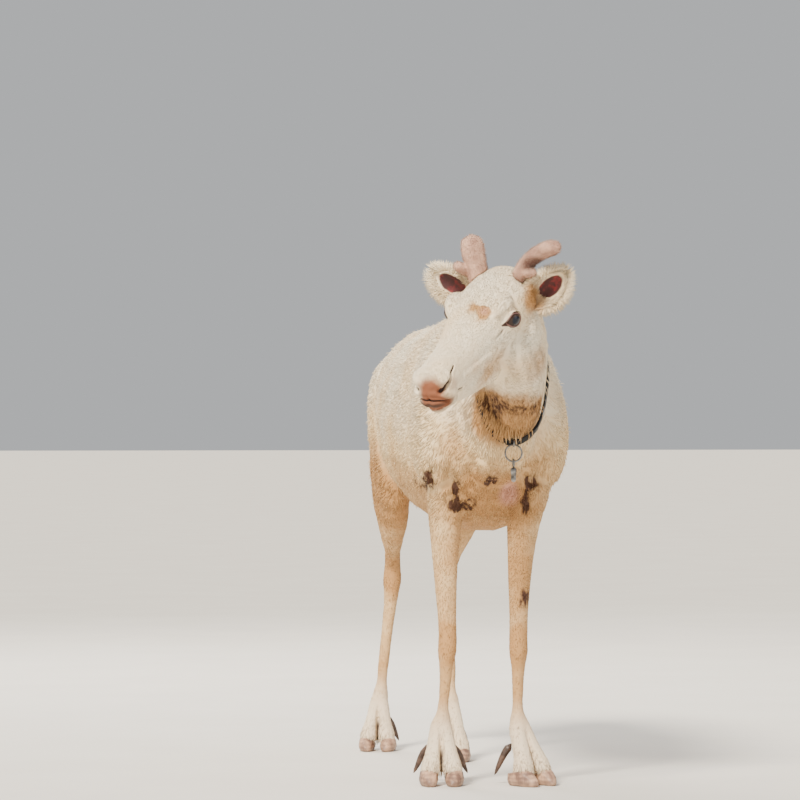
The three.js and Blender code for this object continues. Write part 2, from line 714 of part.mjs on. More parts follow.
// Tail
const tailBody = sweep(
  [
    at(0, 930, 880, 24, 22, 22),
    at(0, 966, 868, 24, 18, 18),
    at(0, 985, 822, 26, 16, 15),
    at(0, 984, 776, 18, 11, 10),
    at(0, 978, 752, 7, 5, 5),
  ],
  { sides: 10, rings: 9, cap: 0.12 },
);
node("tail", cutFrom(tailBody, grownTrunk), coat);

reindeer.updateMatrixWorld(true);
const box = new THREE.Box3().setFromObject(reindeer);
const middle = box.getCenter(new THREE.Vector3());
reindeer.position.set(-middle.x, -middle.y, 0);

export default reindeer;
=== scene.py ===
# %% [markdown]
# # A white reindeer in its short summer coat
# The animal stands on a plain floor with its head turned to its right. Its shape comes from the
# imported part, which is imported as the frame: a set of closed solids that touch each other. This
# scene gives them their looks. One skin is drawn over all the solids of flesh, hair is set on it in
# tufts of mesh, and the eyes, antlers, hooves and collar are finished one by one.

# %% The frame and its size
import math

import bmesh
import bpy
import numpy as np
from mathutils import Matrix, Vector
from mathutils.bvhtree import BVHTree


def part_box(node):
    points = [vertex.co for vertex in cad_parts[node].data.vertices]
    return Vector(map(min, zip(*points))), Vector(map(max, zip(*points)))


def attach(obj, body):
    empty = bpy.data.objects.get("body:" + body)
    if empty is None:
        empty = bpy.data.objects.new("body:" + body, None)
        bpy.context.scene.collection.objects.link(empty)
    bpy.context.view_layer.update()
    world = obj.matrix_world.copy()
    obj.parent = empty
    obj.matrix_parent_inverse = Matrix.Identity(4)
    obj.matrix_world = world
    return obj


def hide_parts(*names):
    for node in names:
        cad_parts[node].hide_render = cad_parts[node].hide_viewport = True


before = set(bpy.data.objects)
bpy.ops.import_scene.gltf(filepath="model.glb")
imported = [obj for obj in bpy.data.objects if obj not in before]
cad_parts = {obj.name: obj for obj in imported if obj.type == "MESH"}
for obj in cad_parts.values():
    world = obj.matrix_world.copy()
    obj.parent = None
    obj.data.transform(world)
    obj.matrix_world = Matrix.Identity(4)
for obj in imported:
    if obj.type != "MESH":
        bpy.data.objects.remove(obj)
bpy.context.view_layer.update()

# %% [markdown]
# ## Where things are
# The part was drawn with the animal's front feet near the origin and then moved to stand over the
# middle of its own box. All places below are in those first millimetres, because a hand's breadth
# is easier to picture than 0.083 of a metre. The two eyes tell where the head is and how it leans,
# so a place on the head can be named by three numbers: forward, left and up from between the eyes.

# %% Places on the body and on the head
MM = 0.001
HEAD_TURN = math.radians(42.5)  # to the animal's right
HEAD_DIP = math.radians(35.4)  # the line from the eyes to the nose points down by this
EYES_MIDDLE = Vector((-55, -285, 939))
EYE_BACK = -5  # the eyeballs' middles, forward of and above the place between the eyes
EYE_UP = -1
EYE_R = 17


def middle(node):
    """The middle of a solid's box."""
    low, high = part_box(node)
    return (Vector(low) + Vector(high)) / 2


eye_left, eye_right = middle("eye_left"), middle("eye_right")
head_left = (eye_left - eye_right).normalized()
level = math.cos(HEAD_DIP)
head_forward = Vector((-math.sin(HEAD_TURN) * level, -math.cos(HEAD_TURN) * level, -math.sin(HEAD_DIP)))
head_forward = (head_forward - head_left * head_forward.dot(head_left)).normalized()
head_up = head_forward.cross(head_left).normalized()
head_up = head_up if head_up.z > 0 else -head_up
head_origin = (eye_left + eye_right) / 2 - head_forward * EYE_BACK * MM - head_up * EYE_UP * MM
SHIFT = head_origin - EYES_MIDDLE * MM


def place(x, y, z):
    """A place on the body, in the part's first millimetres, as metres in the frame."""
    return Vector((x, y, z)) * MM + SHIFT


def head_direction(forward, left, up):
    """A direction on the head."""
    return head_forward * forward + head_left * left + head_up * up


def on_head(forward, left, up):
    """A place on the head, in millimetres from between the eyes."""
    return head_origin + head_direction(forward, left, up) * MM


print("shift of the part (mm):", [round(v / MM, 2) for v in SHIFT])

# %% [markdown]
# ## Small tools for meshes
# A solid of the frame is loose triangles, so a copy has its doubles merged before it is used.
# Smoothing moves each point towards the middle of its neighbours. The Smooth modifier does just
# that, and thin legs shrink under it, so here a second, opposite step holds their thickness. Both
# steps are sums over the edges, which numpy does quickly.

# %% Copies of the solids, and new objects
def solid_of(node, swell=0.0):
    """A merged copy of a solid as a bmesh, swollen outwards a little if asked."""
    bm = bmesh.new()
    bm.from_mesh(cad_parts[node].data)
    bmesh.ops.remove_doubles(bm, verts=bm.verts, dist=2e-5)
    bm.normal_update()
    if swell:
        for v in bm.verts:
            v.co += v.normal * swell
    return bm


def piece_from(bm, name):
    """A bmesh as an object of the scene."""
    mesh = bpy.data.meshes.new(name)
    bm.to_mesh(mesh)
    bm.free()
    return piece(mesh, name)


def piece(mesh, name):
    """A mesh as a new object in the scene."""
    obj = bpy.data.objects.new(name, mesh)
    bpy.context.scene.collection.objects.link(obj)
    return obj


# %% Modifiers and joined solids
def applied(obj, kind, **settings):
    """Adds one modifier with these settings and makes it part of the mesh."""
    modifier = obj.modifiers.new(kind, kind)
    for key, value in settings.items():
        setattr(modifier, key, value)
    bpy.context.view_layer.update()
    made = bpy.data.meshes.new_from_object(obj.evaluated_get(bpy.context.evaluated_depsgraph_get()))
    obj.modifiers.clear()
    old = obj.data
    obj.data = made
    bpy.data.meshes.remove(old)
    return obj


def joined(nodes, swell):
    """Several solids in one bmesh."""
    whole = bmesh.new()
    for node in nodes:
        part = solid_of(node, swell)
        mesh = bpy.data.meshes.new("part")
        part.to_mesh(mesh)
        part.free()
        whole.from_mesh(mesh)
        bpy.data.meshes.remove(mesh)
    return whole


# %% Points and normals as rows of numbers
def rows_of(items, what):
    """A property of all items of a mesh, as rows of three."""
    flat = np.empty(len(items) * 3)
    items.foreach_get(what, flat)
    return flat.reshape(-1, 3)


def points_of(mesh):
    """The mesh's points as rows of x, y, z."""
    return rows_of(mesh.vertices, "co")


def normals_of(mesh):
    """The direction that the surface faces at each point."""
    return rows_of(mesh.vertex_normals, "vector")


def set_points(mesh, points):
    """Moves the mesh's points."""
    mesh.vertices.foreach_set("co", points.ravel())
    mesh.update()


# %% Smoothing
def relax(mesh, times, weight=1.0, keep=True):
    """Smooths a mesh. keep adds the opposite step that holds its thickness."""
    edges = np.empty(len(mesh.edges) * 2, dtype=int)
    mesh.edges.foreach_get("vertices", edges)
    a, b = edges[0::2], edges[1::2]
    points = points_of(mesh)
    n = len(points)
    count = np.maximum(np.bincount(edges, minlength=n), 1)[:, None]
    weight = np.asarray(weight)[..., None]
    for _ in range(times):
        for step in (0.5, -0.52) if keep else (0.5,):
            sums = [np.bincount(a, points[b, i], n) + np.bincount(b, points[a, i], n) for i in range(3)]
            points = points + step * weight * (np.stack(sums, axis=1) / count - points)
    set_points(mesh, points)


# %% Loose bits and even squares
def largest_island(obj):
    """Keeps the largest connected part of a mesh."""
    bm = bmesh.new()
    bm.from_mesh(obj.data)
    seen, best = set(), []
    for start in bm.verts:
        queue = [] if start in seen else [start]
        seen.update(queue)
        island = []
        while queue:
            v = queue.pop()
            island.append(v)
            fresh = {edge.other_vert(v) for edge in v.link_edges} - seen
            seen |= fresh
            queue.extend(fresh)
        best = max(best, island, key=len)
    kept = set(best)
    bmesh.ops.delete(bm, geom=[v for v in bm.verts if v not in kept], context="VERTS")
    bm.to_mesh(obj.data)
    bm.free()


def rounded(obj, voxel, times, keep=True):
    """Remeshes an object to small even squares and smooths them."""
    applied(obj, "REMESH", mode="VOXEL", voxel_size=voxel, use_smooth_shade=True)
    relax(obj.data, times, keep=keep)
    return obj


def smoothstep(low, high, value):
    """0 below low, 1 above high, and an even slope between."""
    t = np.clip((value - low) / (high - low), 0, 1)
    return t * t * (3 - 2 * t)


# %% [markdown]
# ## The skin
# A coat of hair grows from one skin. A Boolean union of the solids would be closed as well, but
# with a hard seam wherever two of them meet. So they are swollen by a hair's breadth until they run
# into each other, joined, and remeshed on a grid, which gives one closed surface of even squares
# that can be smoothed. A coarse grid is enough for the trunk. The head and feet are made again on a
# finer grid, and the skin's points there are doubled and laid on that finer shape.

# %% One skin over the flesh
ENDS = ("front", "hind")
SIDES = ("left", "right")
LEGS = [f"{end}_leg_{side}_{part}" for end in ENDS for side in SIDES for part in ("upper", "cannon")]
FEET = [f"{end}_foot_{side}" for end in ENDS for side in SIDES]
FLESH = ["torso", "neck", "head", "tail"] + LEGS + FEET
SWELL = 0.5 * MM
BODY_GRID = 6 * MM
FINE_GRID = 2.6 * MM
skin = rounded(piece_from(joined(FLESH, SWELL), "skin"), BODY_GRID, 8)
largest_island(skin)
fine = rounded(piece_from(joined(["head", "neck"] + FEET, SWELL), "fine"), FINE_GRID, 4)
print("skin:", len(skin.data.vertices), "fine:", len(fine.data.vertices))


# %% The parts of the skin
def first_mm(points):
    """Places of the frame in the part's first millimetres."""
    return (points - np.array(SHIFT)) / MM


HEAD_AXES = [np.array(axis) for axis in (head_forward, head_left, head_up)]


def head_coords(points):
    """Forward, left and up from between the eyes, in millimetres."""
    away = points - np.array(head_origin)
    return np.stack([away @ axis for axis in HEAD_AXES], axis=1) / MM


def on_the_head(points, soft=30.0):
    """1 on the head and 0 behind it."""
    p = first_mm(points) - np.array([-10, -195, 940])
    return smoothstep(-soft, soft, p @ np.array([-0.48, -0.877, 0.013]))


def on_the_neck(points, soft=45.0):
    """1 from the neck forward, head included, and 0 on the trunk."""
    p = first_mm(points) - np.array([12, -40, 800])
    return smoothstep(-soft, soft, p @ np.array([0, -0.947, 0.325]))


def on_a_leg(points):
    """1 on the legs below the elbow and stifle."""
    return 1 - smoothstep(470, 600, first_mm(points)[:, 2])


def on_a_foot(points):
    """1 below the fetlock."""
    return 1 - smoothstep(120, 175, first_mm(points)[:, 2])


def on_the_tail(points):
    """1 on the tail."""
    p = first_mm(points)
    return smoothstep(945, 965, p[:, 1]) * smoothstep(700, 730, p[:, 2])


# %% A finer head and finer feet
def divided(obj, mask):
    """Doubles the points of the mesh where the mask is over a half."""
    bm = bmesh.new()
    bm.from_mesh(obj.data)
    bm.verts.ensure_lookup_table()
    chosen = mask > 0.5
    edges = [e for e in bm.edges if chosen[e.verts[0].index] and chosen[e.verts[1].index]]
    bmesh.ops.subdivide_edges(bm, edges=edges, cuts=1, use_grid_fill=True, smooth=0)
    bmesh.ops.triangulate(bm, faces=[f for f in bm.faces if len(f.verts) > 4])
    bm.to_mesh(obj.data)
    bm.free()


divided(skin, np.maximum(on_the_head(points_of(skin.data)), on_a_foot(points_of(skin.data))))
tree = BVHTree.FromObject(fine, bpy.context.evaluated_depsgraph_get())
points = points_of(skin.data)
near = np.maximum(on_the_head(points, 20), on_a_foot(points))
for i in np.nonzero(near > 0.02)[0]:
    spot = tree.find_nearest(Vector(points[i]))[0]
    if spot is not None:
        points[i] += near[i] * (np.array(spot) - points[i])
set_points(skin.data, points)
relax(skin.data, 3)
bpy.data.objects.remove(fine)
print("skin with a finer head and feet:", len(skin.data.vertices))

# %% [markdown]
# ## The lines of the face
# Nostrils, lips, lids and the folds of the skin give the face its look. By hand they would be
# pressed in with a sculpting brush. A script has no brush, so each is named as a line through
# places on the head or the body, and the skin sinks along it, or swells, by a depth that fades out
# over a width. The lids lie round an opening that is measured in angles at the ball's centre: inside
# it the skin passes behind the ball, and outside it lies over the ball by the thickness of a lid.

# %% Lines that sink into the skin
def line_depth(points, line):
    """How deep a line lies at each point. A line is rows of x, y, z, width and depth."""
    depth = np.zeros(len(points))
    for start, end in zip(line[:-1], line[1:]):
        start, end = np.array(start, dtype=float), np.array(end, dtype=float)
        along = end[:3] - start[:3]
        share = np.clip((points - start[:3]) @ along / (along @ along), 0, 1)
        middle = start[None] + share[:, None] * (end - start)[None]
        far = np.linalg.norm(points - middle[:, :3], axis=1) / middle[:, 3]
        here = middle[:, 4] * (1 - smoothstep(0.15, 1.0, far))
        depth = np.where(np.abs(here) > np.abs(depth), here, depth)
    return depth


def laid(line, to_mm, to_place):
    """The same line with four times the spots, each laid on the skin."""
    line = np.array(line, dtype=float)
    last = len(line) - 1
    out = []
    for i, share in [*((i, k / 4) for i in range(last) for k in range(4)), (last - 1, 1.0)]:
        spot = line[i] * (1 - share) + line[i + 1] * share
        near = skin_tree.find_nearest(to_place(*spot[:3]))[0]
        out.append((*to_mm(np.array([near]))[0], *spot[3:]))
    return out


def mirrored(line):
    """The line and its twin on the other side of the head."""
    return [line, [(f, -left, *rest) for f, left, *rest in line]]


# %% Where the lines run
# Forward, left, up, width and depth, in millimetres on the head
NOSTRILS = mirrored([(168, 38, 8, 3.5, 2), (188, 40, 0, 5, 5), (207, 33, -10, 8, 11), (220, 24, -19, 8, 9)])
MOUTH = mirrored([
    (240, 0, -33, 5, 4), (229, 25, -38, 5.5, 6), (206, 41, -46, 6, 6),
    (182, 44, -53, 5, 4), (160, 42, -60, 6, 2),
])
TEARS = mirrored([(13, 80, -7, 5, 3), (30, 72, -10, 4.5, 2.5), (50, 62, -14, 4, 1)])
FACE_FOLDS = [
    *mirrored([(222, 7, -8, 9, -1.5), (208, 36, 2, 10, -3), (188, 47, 8, 10, -2)]),  # wing of the nostril
    *mirrored([(232, 10, -20, 8, -2), (216, 34, -28, 9, -3), (190, 46, -36, 9, -2)]),  # upper lip
    *mirrored([(232, 8, -46, 11, -4), (212, 30, -56, 12, -4), (186, 36, -62, 12, -2)]),  # lower lip
    [(222, 0, -62, 18, -6), (196, 0, -72, 18, -5)],  # chin
    *mirrored([(44, 70, -44, 5, 1.5), (62, 64, -62, 6, 2.5), (74, 58, -80, 5, 1.5)]),  # creases of the cheek
    *mirrored([(60, 66, -42, 9, -3), (110, 50, -36, 10, -3), (150, 42, -30, 10, -1.5)]),  # under the eye
    *mirrored([(95, 56, -62, 12, 2.5), (70, 66, -80, 12, 3), (30, 70, -100, 14, 2)]),  # hollow of the cheek
    *mirrored([(26, 72, 12, 6, 2), (-4, 80, 22, 6, 2.5), (-30, 76, 14, 6, 2)]),  # crease over the upper lid
    [(232, 0, -2, 5, 1), (238, 0, -30, 5, 2.0)],  # groove down the nose
]
# The same on the body, in the part's first millimetres
BODY_FOLDS = [
    [(-111, -20, 660, 18, 3), (-111, -5, 616, 18, 8), (-106, 10, 585, 16, 4)],
    [(-58, -50, 650, 16, 3), (-58, -35, 600, 18, 9), (-55, -10, 560, 16, 5)],
    [(4, -70, 650, 14, 3), (4, -60, 616, 14, 6), (4, -50, 590, 14, 3)],
    [(92, -40, 655, 18, 3), (92, -20, 610, 18, 9), (86, 0, 565, 16, 5)],
    [(-85, -30, 640, 22, -4), (-85, -15, 600, 22, -5)],
    [(-27, -60, 640, 24, -5), (-27, -40, 600, 24, -6)],
    [(50, -60, 640, 28, -5), (50, -45, 590, 28, -6)],
    [(-104, 905, 690, 90, -9), (-100, 890, 600, 80, -16), (-92, 915, 505, 50, -9)],
    [(-104, 700, 640, 80, -8), (-98, 735, 565, 64, -13), (-90, 805, 490, 44, -6)],
    [(84, 850, 690, 90, -9), (72, 790, 600, 80, -16), (50, 765, 505, 50, -9)],
    [(84, 620, 640, 80, -8), (66, 625, 565, 64, -13), (46, 660, 490, 44, -6)],
]
print("lines:", len(NOSTRILS + MOUTH + TEARS + FACE_FOLDS), "on the face,", len(BODY_FOLDS), "on the body")

# %% The clefts of the feet
# Each foot: the place of its fetlock, where it points in degrees to the left, and its size
FOOT_FRAMES = [((75, 77), 30, 1.0), ((-81, 100), -6, 1.0), ((14, 642), -8, 0.92), ((-109, 930), -13, 0.92)]


def cleft_depth(points):
    """How far the skin sinks between the two toes of each foot, and the way it sinks."""
    p = first_mm(points)
    depth, back = np.zeros(len(points)), np.zeros((len(points), 3))
    for (x, y), heading, size in FOOT_FRAMES:
        turn = math.radians(heading)
        ahead = np.array([math.sin(turn), -math.cos(turn), 0])
        left = np.array([math.cos(turn), math.sin(turn), 0])
        away = (p - np.array([x, y, 0])) / size
        f, l, u = away @ ahead, away @ left, away[:, 2]
        here = (np.hypot(f - 20, l) < 75) & (u < 125)
        deep = (1 - smoothstep(1.2, 6.5, np.abs(l))) * (1 - smoothstep(45, 118, u))
        deep = deep * smoothstep(6, 22, f - (120 - u) * 0.30)
        depth = np.where(here, deep, depth)
        back = np.where(here[:, None], -ahead[None], back)
    return depth, back


# %% The opening of the lids
EYE_LONG = (1.0, 0.0, 0.05)  # the opening's long axis
OPEN_LONG = 1.08  # half of the opening, as an angle at the ball's centre
OPEN_TALL = 0.86
LID = 2.0  # how far the lids lie over the ball
eye_half = (eye_left - eye_right).length / 2 / MM


def eye_frame(side):
    """The eye's gaze and the opening's two axes, on the head."""
    gaze = np.array([0.42, side * 1.0, 0.04])
    gaze /= np.linalg.norm(gaze)
    long = np.array(EYE_LONG)
    long = long - gaze * (long @ gaze)
    long /= np.linalg.norm(long)
    tall = np.cross(gaze, long) * side
    return gaze, long, tall if tall[2] > 0 else -tall


def from_eye(h, side):
    """Places on the head, from the middle of one eyeball."""
    return h - np.array([EYE_BACK, side * eye_half, EYE_UP])


def eye_angles(h, side):
    """How far out a point lies in an eye's opening (1 on its edge), and how far from the ball's middle."""
    gaze, long, tall = eye_frame(side)
    away = from_eye(h, side)
    radius = np.maximum(np.linalg.norm(away, axis=1), 1e-6)
    g = away @ gaze
    a = np.arctan2(away @ long, g) / (OPEN_LONG * (1 + 0.18 * (away @ long > 0)))
    b = np.arctan2(away @ tall, g) / OPEN_TALL
    return np.where(g > -4, np.hypot(a, b), 9.0), radius, away


# %% More points where the lines are fine
points = points_of(skin.data)
h = head_coords(points)
skin_tree = BVHTree.FromObject(skin, bpy.context.evaluated_depsgraph_get())
face_lines = (NOSTRILS, MOUTH, TEARS, FACE_FOLDS)
face_lines = [[laid(line, head_coords, on_head) for line in lines] for lines in face_lines]
NOSTRILS, MOUTH, TEARS, FACE_FOLDS = face_lines
BODY_FOLDS = [laid(line, first_mm, place) for line in BODY_FOLDS]
detail = first_mm(points)[:, 2] < 120
for line in [*NOSTRILS, *MOUTH, *TEARS]:
    detail |= line_depth(h, [(*spot[:3], 14, 1) for spot in line]) > 0.02
for side in (1, -1):
    detail |= np.linalg.norm(from_eye(h, side), axis=1) < 34
divided(skin, detail)
relax(skin.data, 2)

# %% The crease at the base of the neck, and the fetlocks, are smoothed more
x, y, z = first_mm(points_of(skin.data)).T
base_of_neck = smoothstep(-70, 10, y) * (1 - smoothstep(150, 230, y)) * smoothstep(600, 680, z)
relax(skin.data, 90, weight=base_of_neck, keep=False)
x, y, z = first_mm(points_of(skin.data)).T
relax(skin.data, 16, weight=smoothstep(88, 125, z) * (1 - smoothstep(160, 195, z)), keep=False)
print("skin with points for its lines:", len(skin.data.vertices))

# %% Where the skin is dark, and where shade is painted into hollows
def dark_skin_and_shade(points):
    """1 where the skin is painted dark: along the mouth, dark lip skin with painted shade in its crease;
    painted shade inside the nostrils and in the cleft between the toes; the tear lines; and the dark edges
    of the lids.
    """
    h = head_coords(points)
    # painted shade in the cleft between the toes
    dark = smoothstep(0.35, 1.0, cleft_depth(points)[0]) * 0.75
    # painted shade inside the nostrils; dark lips with painted shade in the mouth's crease; the tear lines
    inks = [(line, lambda width, depth: (width * 0.75, 1), 1.25) for line in NOSTRILS]
    inks += [(line, lambda width, depth: (4.0, min(1, depth / 3)), 0.9) for line in MOUTH]
    inks += [(line, lambda width, depth: (4.5, depth / 3), 0.8) for line in TEARS]
    for line, ink, strength in inks:
        drawn = line_depth(h, [(*spot[:3], *ink(*spot[3:])) for spot in line])
        dark = np.maximum(dark, drawn * strength)
    for side in (1, -1):
        edge, radius, _ = eye_angles(h, side)
        dark = np.maximum(dark, (1 - smoothstep(0.95, 1.22, edge)) * (radius < 30))
    return np.clip(dark, 0, 1)


def painted(mesh, values, name="dark"):
    """Writes a number at each of the mesh's points."""
    mesh.attributes.new(name, "FLOAT", "POINT").data.foreach_set("value", values)


# %% How deep the skin lies under the coat
COAT_DEPTH = 3.6  # how far the skin lies under the solids, on the trunk
FACE_DEPTH = 1.8
CLEFT = 15  # how deep the toes are parted
points = points_of(skin.data)
normals = normals_of(skin.data)
face = on_the_head(points)
muzzle = smoothstep(60, 170, head_coords(points)[:, 0]) * face
depth = COAT_DEPTH - 1.4 * on_a_leg(points) - 1.0 * on_a_foot(points) * on_a_leg(points)
depth = depth * (1 - face) + face * (FACE_DEPTH - 1.2 * muzzle)
h = head_coords(points)
body = first_mm(points)
for line in [*NOSTRILS, *MOUTH, *TEARS, *FACE_FOLDS]:
    depth = depth + line_depth(h, line) * (face > 0.2)
for line in BODY_FOLDS:
    depth = depth + line_depth(body, line) * (1 - face)
depth = depth - 2.6 * (1 - smoothstep(34, 66, body[:, 2]))  # the hair stands out over the hooves

# %% The skin takes its place
dark = dark_skin_and_shade(points)
cleft, back = cleft_depth(points)
points = points - normals * depth[:, None] * MM + back * (cleft * CLEFT)[:, None] * MM
points[:, 2] -= 5 * MM * (1 - smoothstep(28, 46, body[:, 2]))

# %% The lids lie over the eyes
h = head_coords(points)
for side in (1, -1):
    edge, radius, away = eye_angles(h, side)
    lid = EYE_R + LID + 1.2 * np.exp(-(((edge - 1.25) / 0.16) ** 2))
    over = np.maximum(radius, lid)
    fade = smoothstep(1.5, 2.1, edge)
    over = over * (1 - fade) + radius * fade
    under = EYE_R - 5.0
    share = smoothstep(0.93, 1.05, edge)
    new = np.where((edge < 2.1) & (radius < 40), under * (1 - share) + over * share, radius)
    h = h + away * (new / radius - 1)[:, None]
points = np.array(head_origin) + h @ np.array(HEAD_AXES) * MM
set_points(skin.data, points)
skin.data.shade_smooth()
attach(skin, "root")
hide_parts(*FLESH)
painted(skin.data, dark)
print("skin:", len(skin.data.vertices), "points")

# %% [markdown]
# ## Sums of shader nodes
# A material is a small graph. Its nodes could be added and linked one at a time, but then it can't
# be read. Writing it as sums keeps it short: the class below wraps one output of a node, and adding
# or multiplying two of them adds the Math node that does it.

# %% A wrapper for sockets
class Value:
    """One output of a shader node, on which sums can be written."""

    def __init__(self, tree, socket):
        self.tree = tree
        self.socket = socket

    def node(self, kind, inputs=(), out=0, **settings):
        """Adds a node of this kind: its settings first, then the values or links of its sockets."""
        made = self.tree.nodes.new(kind)
        for key, value in settings.items():
            setattr(made, key, value)
        for key, value in dict(inputs).items():
            if isinstance(value, Value):
                self.tree.links.new(value.socket, made.inputs[key])
            else:
                made.inputs[key].default_value = value
        return Value(self.tree, made.outputs[out])

    def math(self, operation, first, second):
        """A Math node of two numbers, at least one of them a Value."""
        return self.node("ShaderNodeMath", {0: first, 1: second}, operation=operation)

    def __add__(self, other):
        return self.math("ADD", self, other)

    __radd__ = __add__

    def __mul__(self, other):
        return self.math("MULTIPLY", self, other)

    __rmul__ = __mul__

    def __sub__(self, other):
        return self.math("SUBTRACT", self, other)

    def __rsub__(self, other):
        return self.math("SUBTRACT", other, self)

    def vector(self, operation, other=(0, 0, 0), out=0):
        """A Vector Math node of this place with another."""
        other = other if isinstance(other, Value) else tuple(other)
        return self.node("ShaderNodeVectorMath", {0: self, 1: other}, operation=operation, out=out)

    def ramp(self, low, high):
        """0 where this is below low, 1 above high, smooth between."""
        return self.node("ShaderNodeMapRange", {0: self, 1: low, 2: high}, interpolation_type="SMOOTHSTEP")

    def tint(self, below, above):
        """Mixes two colours by this value."""
        return self.node("ShaderNodeMix", {0: self, 6: below, 7: above}, out=2, data_type="RGBA")


# %% A new material
def material(name, rough=0.6, metal=0.0, **fixed):
    """A new material: its place on the object, and a function that fills its surface."""
    made = bpy.data.materials.new(name)
    made.use_nodes = True
    tree = made.node_tree
    shader = tree.nodes["Principled BSDF"]
    for key, value in {"Roughness": rough, "Metallic": metal, **fixed}.items():
        shader.inputs[key.replace("_", " ")].default_value = value
    where = Value(tree, None).node("ShaderNodeTexCoord", out="Object")

    def fill(**sockets):
        for key, value in sockets.items():
            tree.links.new(value.socket, shader.inputs[key.replace("_", " ")])

    return made, where, fill


# %% Noise and places
def noise(where, scale, detail=3.0, rough=0.55, stretch=None, out=0):
    """Soft noise over a place, stretched if asked. Output 0 is a number and 1 a colour."""
    if stretch:
        where = where.node("ShaderNodeMapping", {0: where, 3: stretch})
    inputs = {"Vector": where, "Scale": scale, "Detail": detail, "Roughness": rough}
    return where.node("ShaderNodeTexNoise", inputs, out=out)


def around(where, centre, radii):
    """1 at a centre and 0 outside these radii in metres, along the frame's axes."""
    far = where.vector("SUBTRACT", centre).vector("DIVIDE", radii).vector("LENGTH", out=1)
    return 1 - far.ramp(0.0, 1.0)


def summed(where, spots):
    """The sum of spots, each given by its centre, its radii and its strength."""
    total = None
    for centre, radii, strength in spots:
        one = around(where, centre, radii) * strength
        total = total + one if total else one
    return total


def below(where, low, high):
    """1 below the low height and 0 above the high one, in the part's first millimetres."""
    height = where.vector("DOT_PRODUCT", (0, 0, 1), out=1)
    return 1 - height.ramp(place(0, 0, low).z, place(0, 0, high).z)


# %% Numbers on the mesh, and bumps
def attribute(where, name):
    """A number that is written on the mesh's points."""
    return where.node("ShaderNodeAttribute", out=2, attribute_name=name)


def bump(height, strength, distance):
    """The normal that a height gives."""
    return height.node("ShaderNodeBump", {"Height": height, "Strength": strength, "Distance": distance})


# %% [markdown]
# ## The colour of the coat
# The hair is a cream white, whitest on the back and the bridge of the nose, and warmer on the
# cheeks, throat, belly and the insides of the legs, where it is stained. Under the jaw and in the
# folds of the chest and armpits, the tan and brown are partly dark hair and stains, and partly
# painted shade. A painted picture could carry the marks, but it would show a seam where the unwrap
# ends. Noise and soft spots in space have none. The skin and the tufts use one and the same recipe,
# on the same places, so that the coat shows no patch that the skin lacks.

# %% Colours and marks
WHITE = (0.85, 0.775, 0.625, 1)
CREAM = (0.80, 0.575, 0.305, 1)
TAN = (0.47, 0.245, 0.09, 1)
BROWN = (0.07, 0.028, 0.014, 1)
PINK = (0.56, 0.28, 0.19, 1)
NOSE = (0.23, 0.075, 0.032, 1)
DARK = (0.040, 0.017, 0.012, 1)
WANDER = 0.05  # how far noise moves the edges of the marks, in metres
# Centre, radii in metres and strength of each spot
TAN_PATCHES = [
    (on_head(70, 66, -95), (0.09, 0.07, 0.09), 0.95),
    (on_head(-40, 60, -130), (0.10, 0.08, 0.06), 0.7),
    # under the jaw: tan throat hair with the painted shadow of the jaw
    (place(4, -150, 750), (0.15, 0.14, 0.082), 2.2),
    (on_head(-80, 70, -10), (0.045, 0.045, 0.05), 1.1),
    (on_head(-80, -70, -10), (0.045, 0.045, 0.05), 0.7),
    (on_head(34, 10, 46), (0.022, 0.040, 0.03), 1.1),
    (on_head(45, 40, 32), (0.03, 0.018, 0.03), 0.7),
    (on_head(28, 36, 44), (0.024, 0.022, 0.028), 3.0),
    (on_head(120, 60, -40), (0.05, 0.04, 0.05), 0.45),
    (place(-72, 60, 285), (0.04, 0.05, 0.06), 0.9),
    (place(73, 50, 285), (0.04, 0.05, 0.06), 0.8),
    (place(-80, 905, 395), (0.05, 0.06, 0.07), 0.7),
    (place(18, 720, 395), (0.05, 0.06, 0.07), 0.6),
    (place(10, -10, 560), (0.15, 0.12, 0.10), 1.25),
    (place(0, 450, 530), (0.2, 0.4, 0.08), 0.6),
    (place(-75, -20, 690), (0.06, 0.07, 0.12), 0.5),
    (place(95, -20, 690), (0.06, 0.07, 0.12), 0.4),
    (place(-110, 760, 600), (0.10, 0.12, 0.14), 1.1),
    (place(-75, 0, 480), (0.06, 0.08, 0.13), 0.35),
    (place(75, 30, 420), (0.05, 0.06, 0.13), 0.5),
]
# Brown marks: dark hair and dirt, with the painted shadow of the jaw on the throat and painted shade in the
# folds of the chest and armpits
BROWN_MARKS_AND_SHADE = [
    (place(12, -150, 768), (0.14, 0.14, 0.050), 1.0),
    (place(-111, -10, 616), (0.018, 0.30, 0.044), 1.9),
    (place(-58, -20, 588), (0.017, 0.30, 0.058), 1.7),
    (place(-50, -20, 566), (0.056, 0.30, 0.021), 1.6),
    (place(4, -45, 616), (0.016, 0.20, 0.030), 1.7),
    (place(92, -20, 612), (0.024, 0.30, 0.030), 1.8),
    (place(86, -15, 572), (0.016, 0.30, 0.045), 1.7),
    (place(86, 20, 372), (0.020, 0.06, 0.055), 2.0),
]
PINK_PATCHES = [
    (on_head(190, 40, -20), (0.05, 0.03, 0.04), 0.35),
    (place(48, -35, 584), (0.038, 0.20, 0.050), 1.5),
    (on_head(28, 36, 44), (0.026, 0.022, 0.028), 0.9),
    (on_head(62, 64, -58), (0.012, 0.03, 0.024), 1.3),
    (on_head(48, 66, -50), (0.010, 0.03, 0.018), 1.2),
    (on_head(-2, 78, 0), (0.034, 0.024, 0.028), 0.75),
    (on_head(-2, -78, 0), (0.034, 0.024, 0.028), 0.75),
]
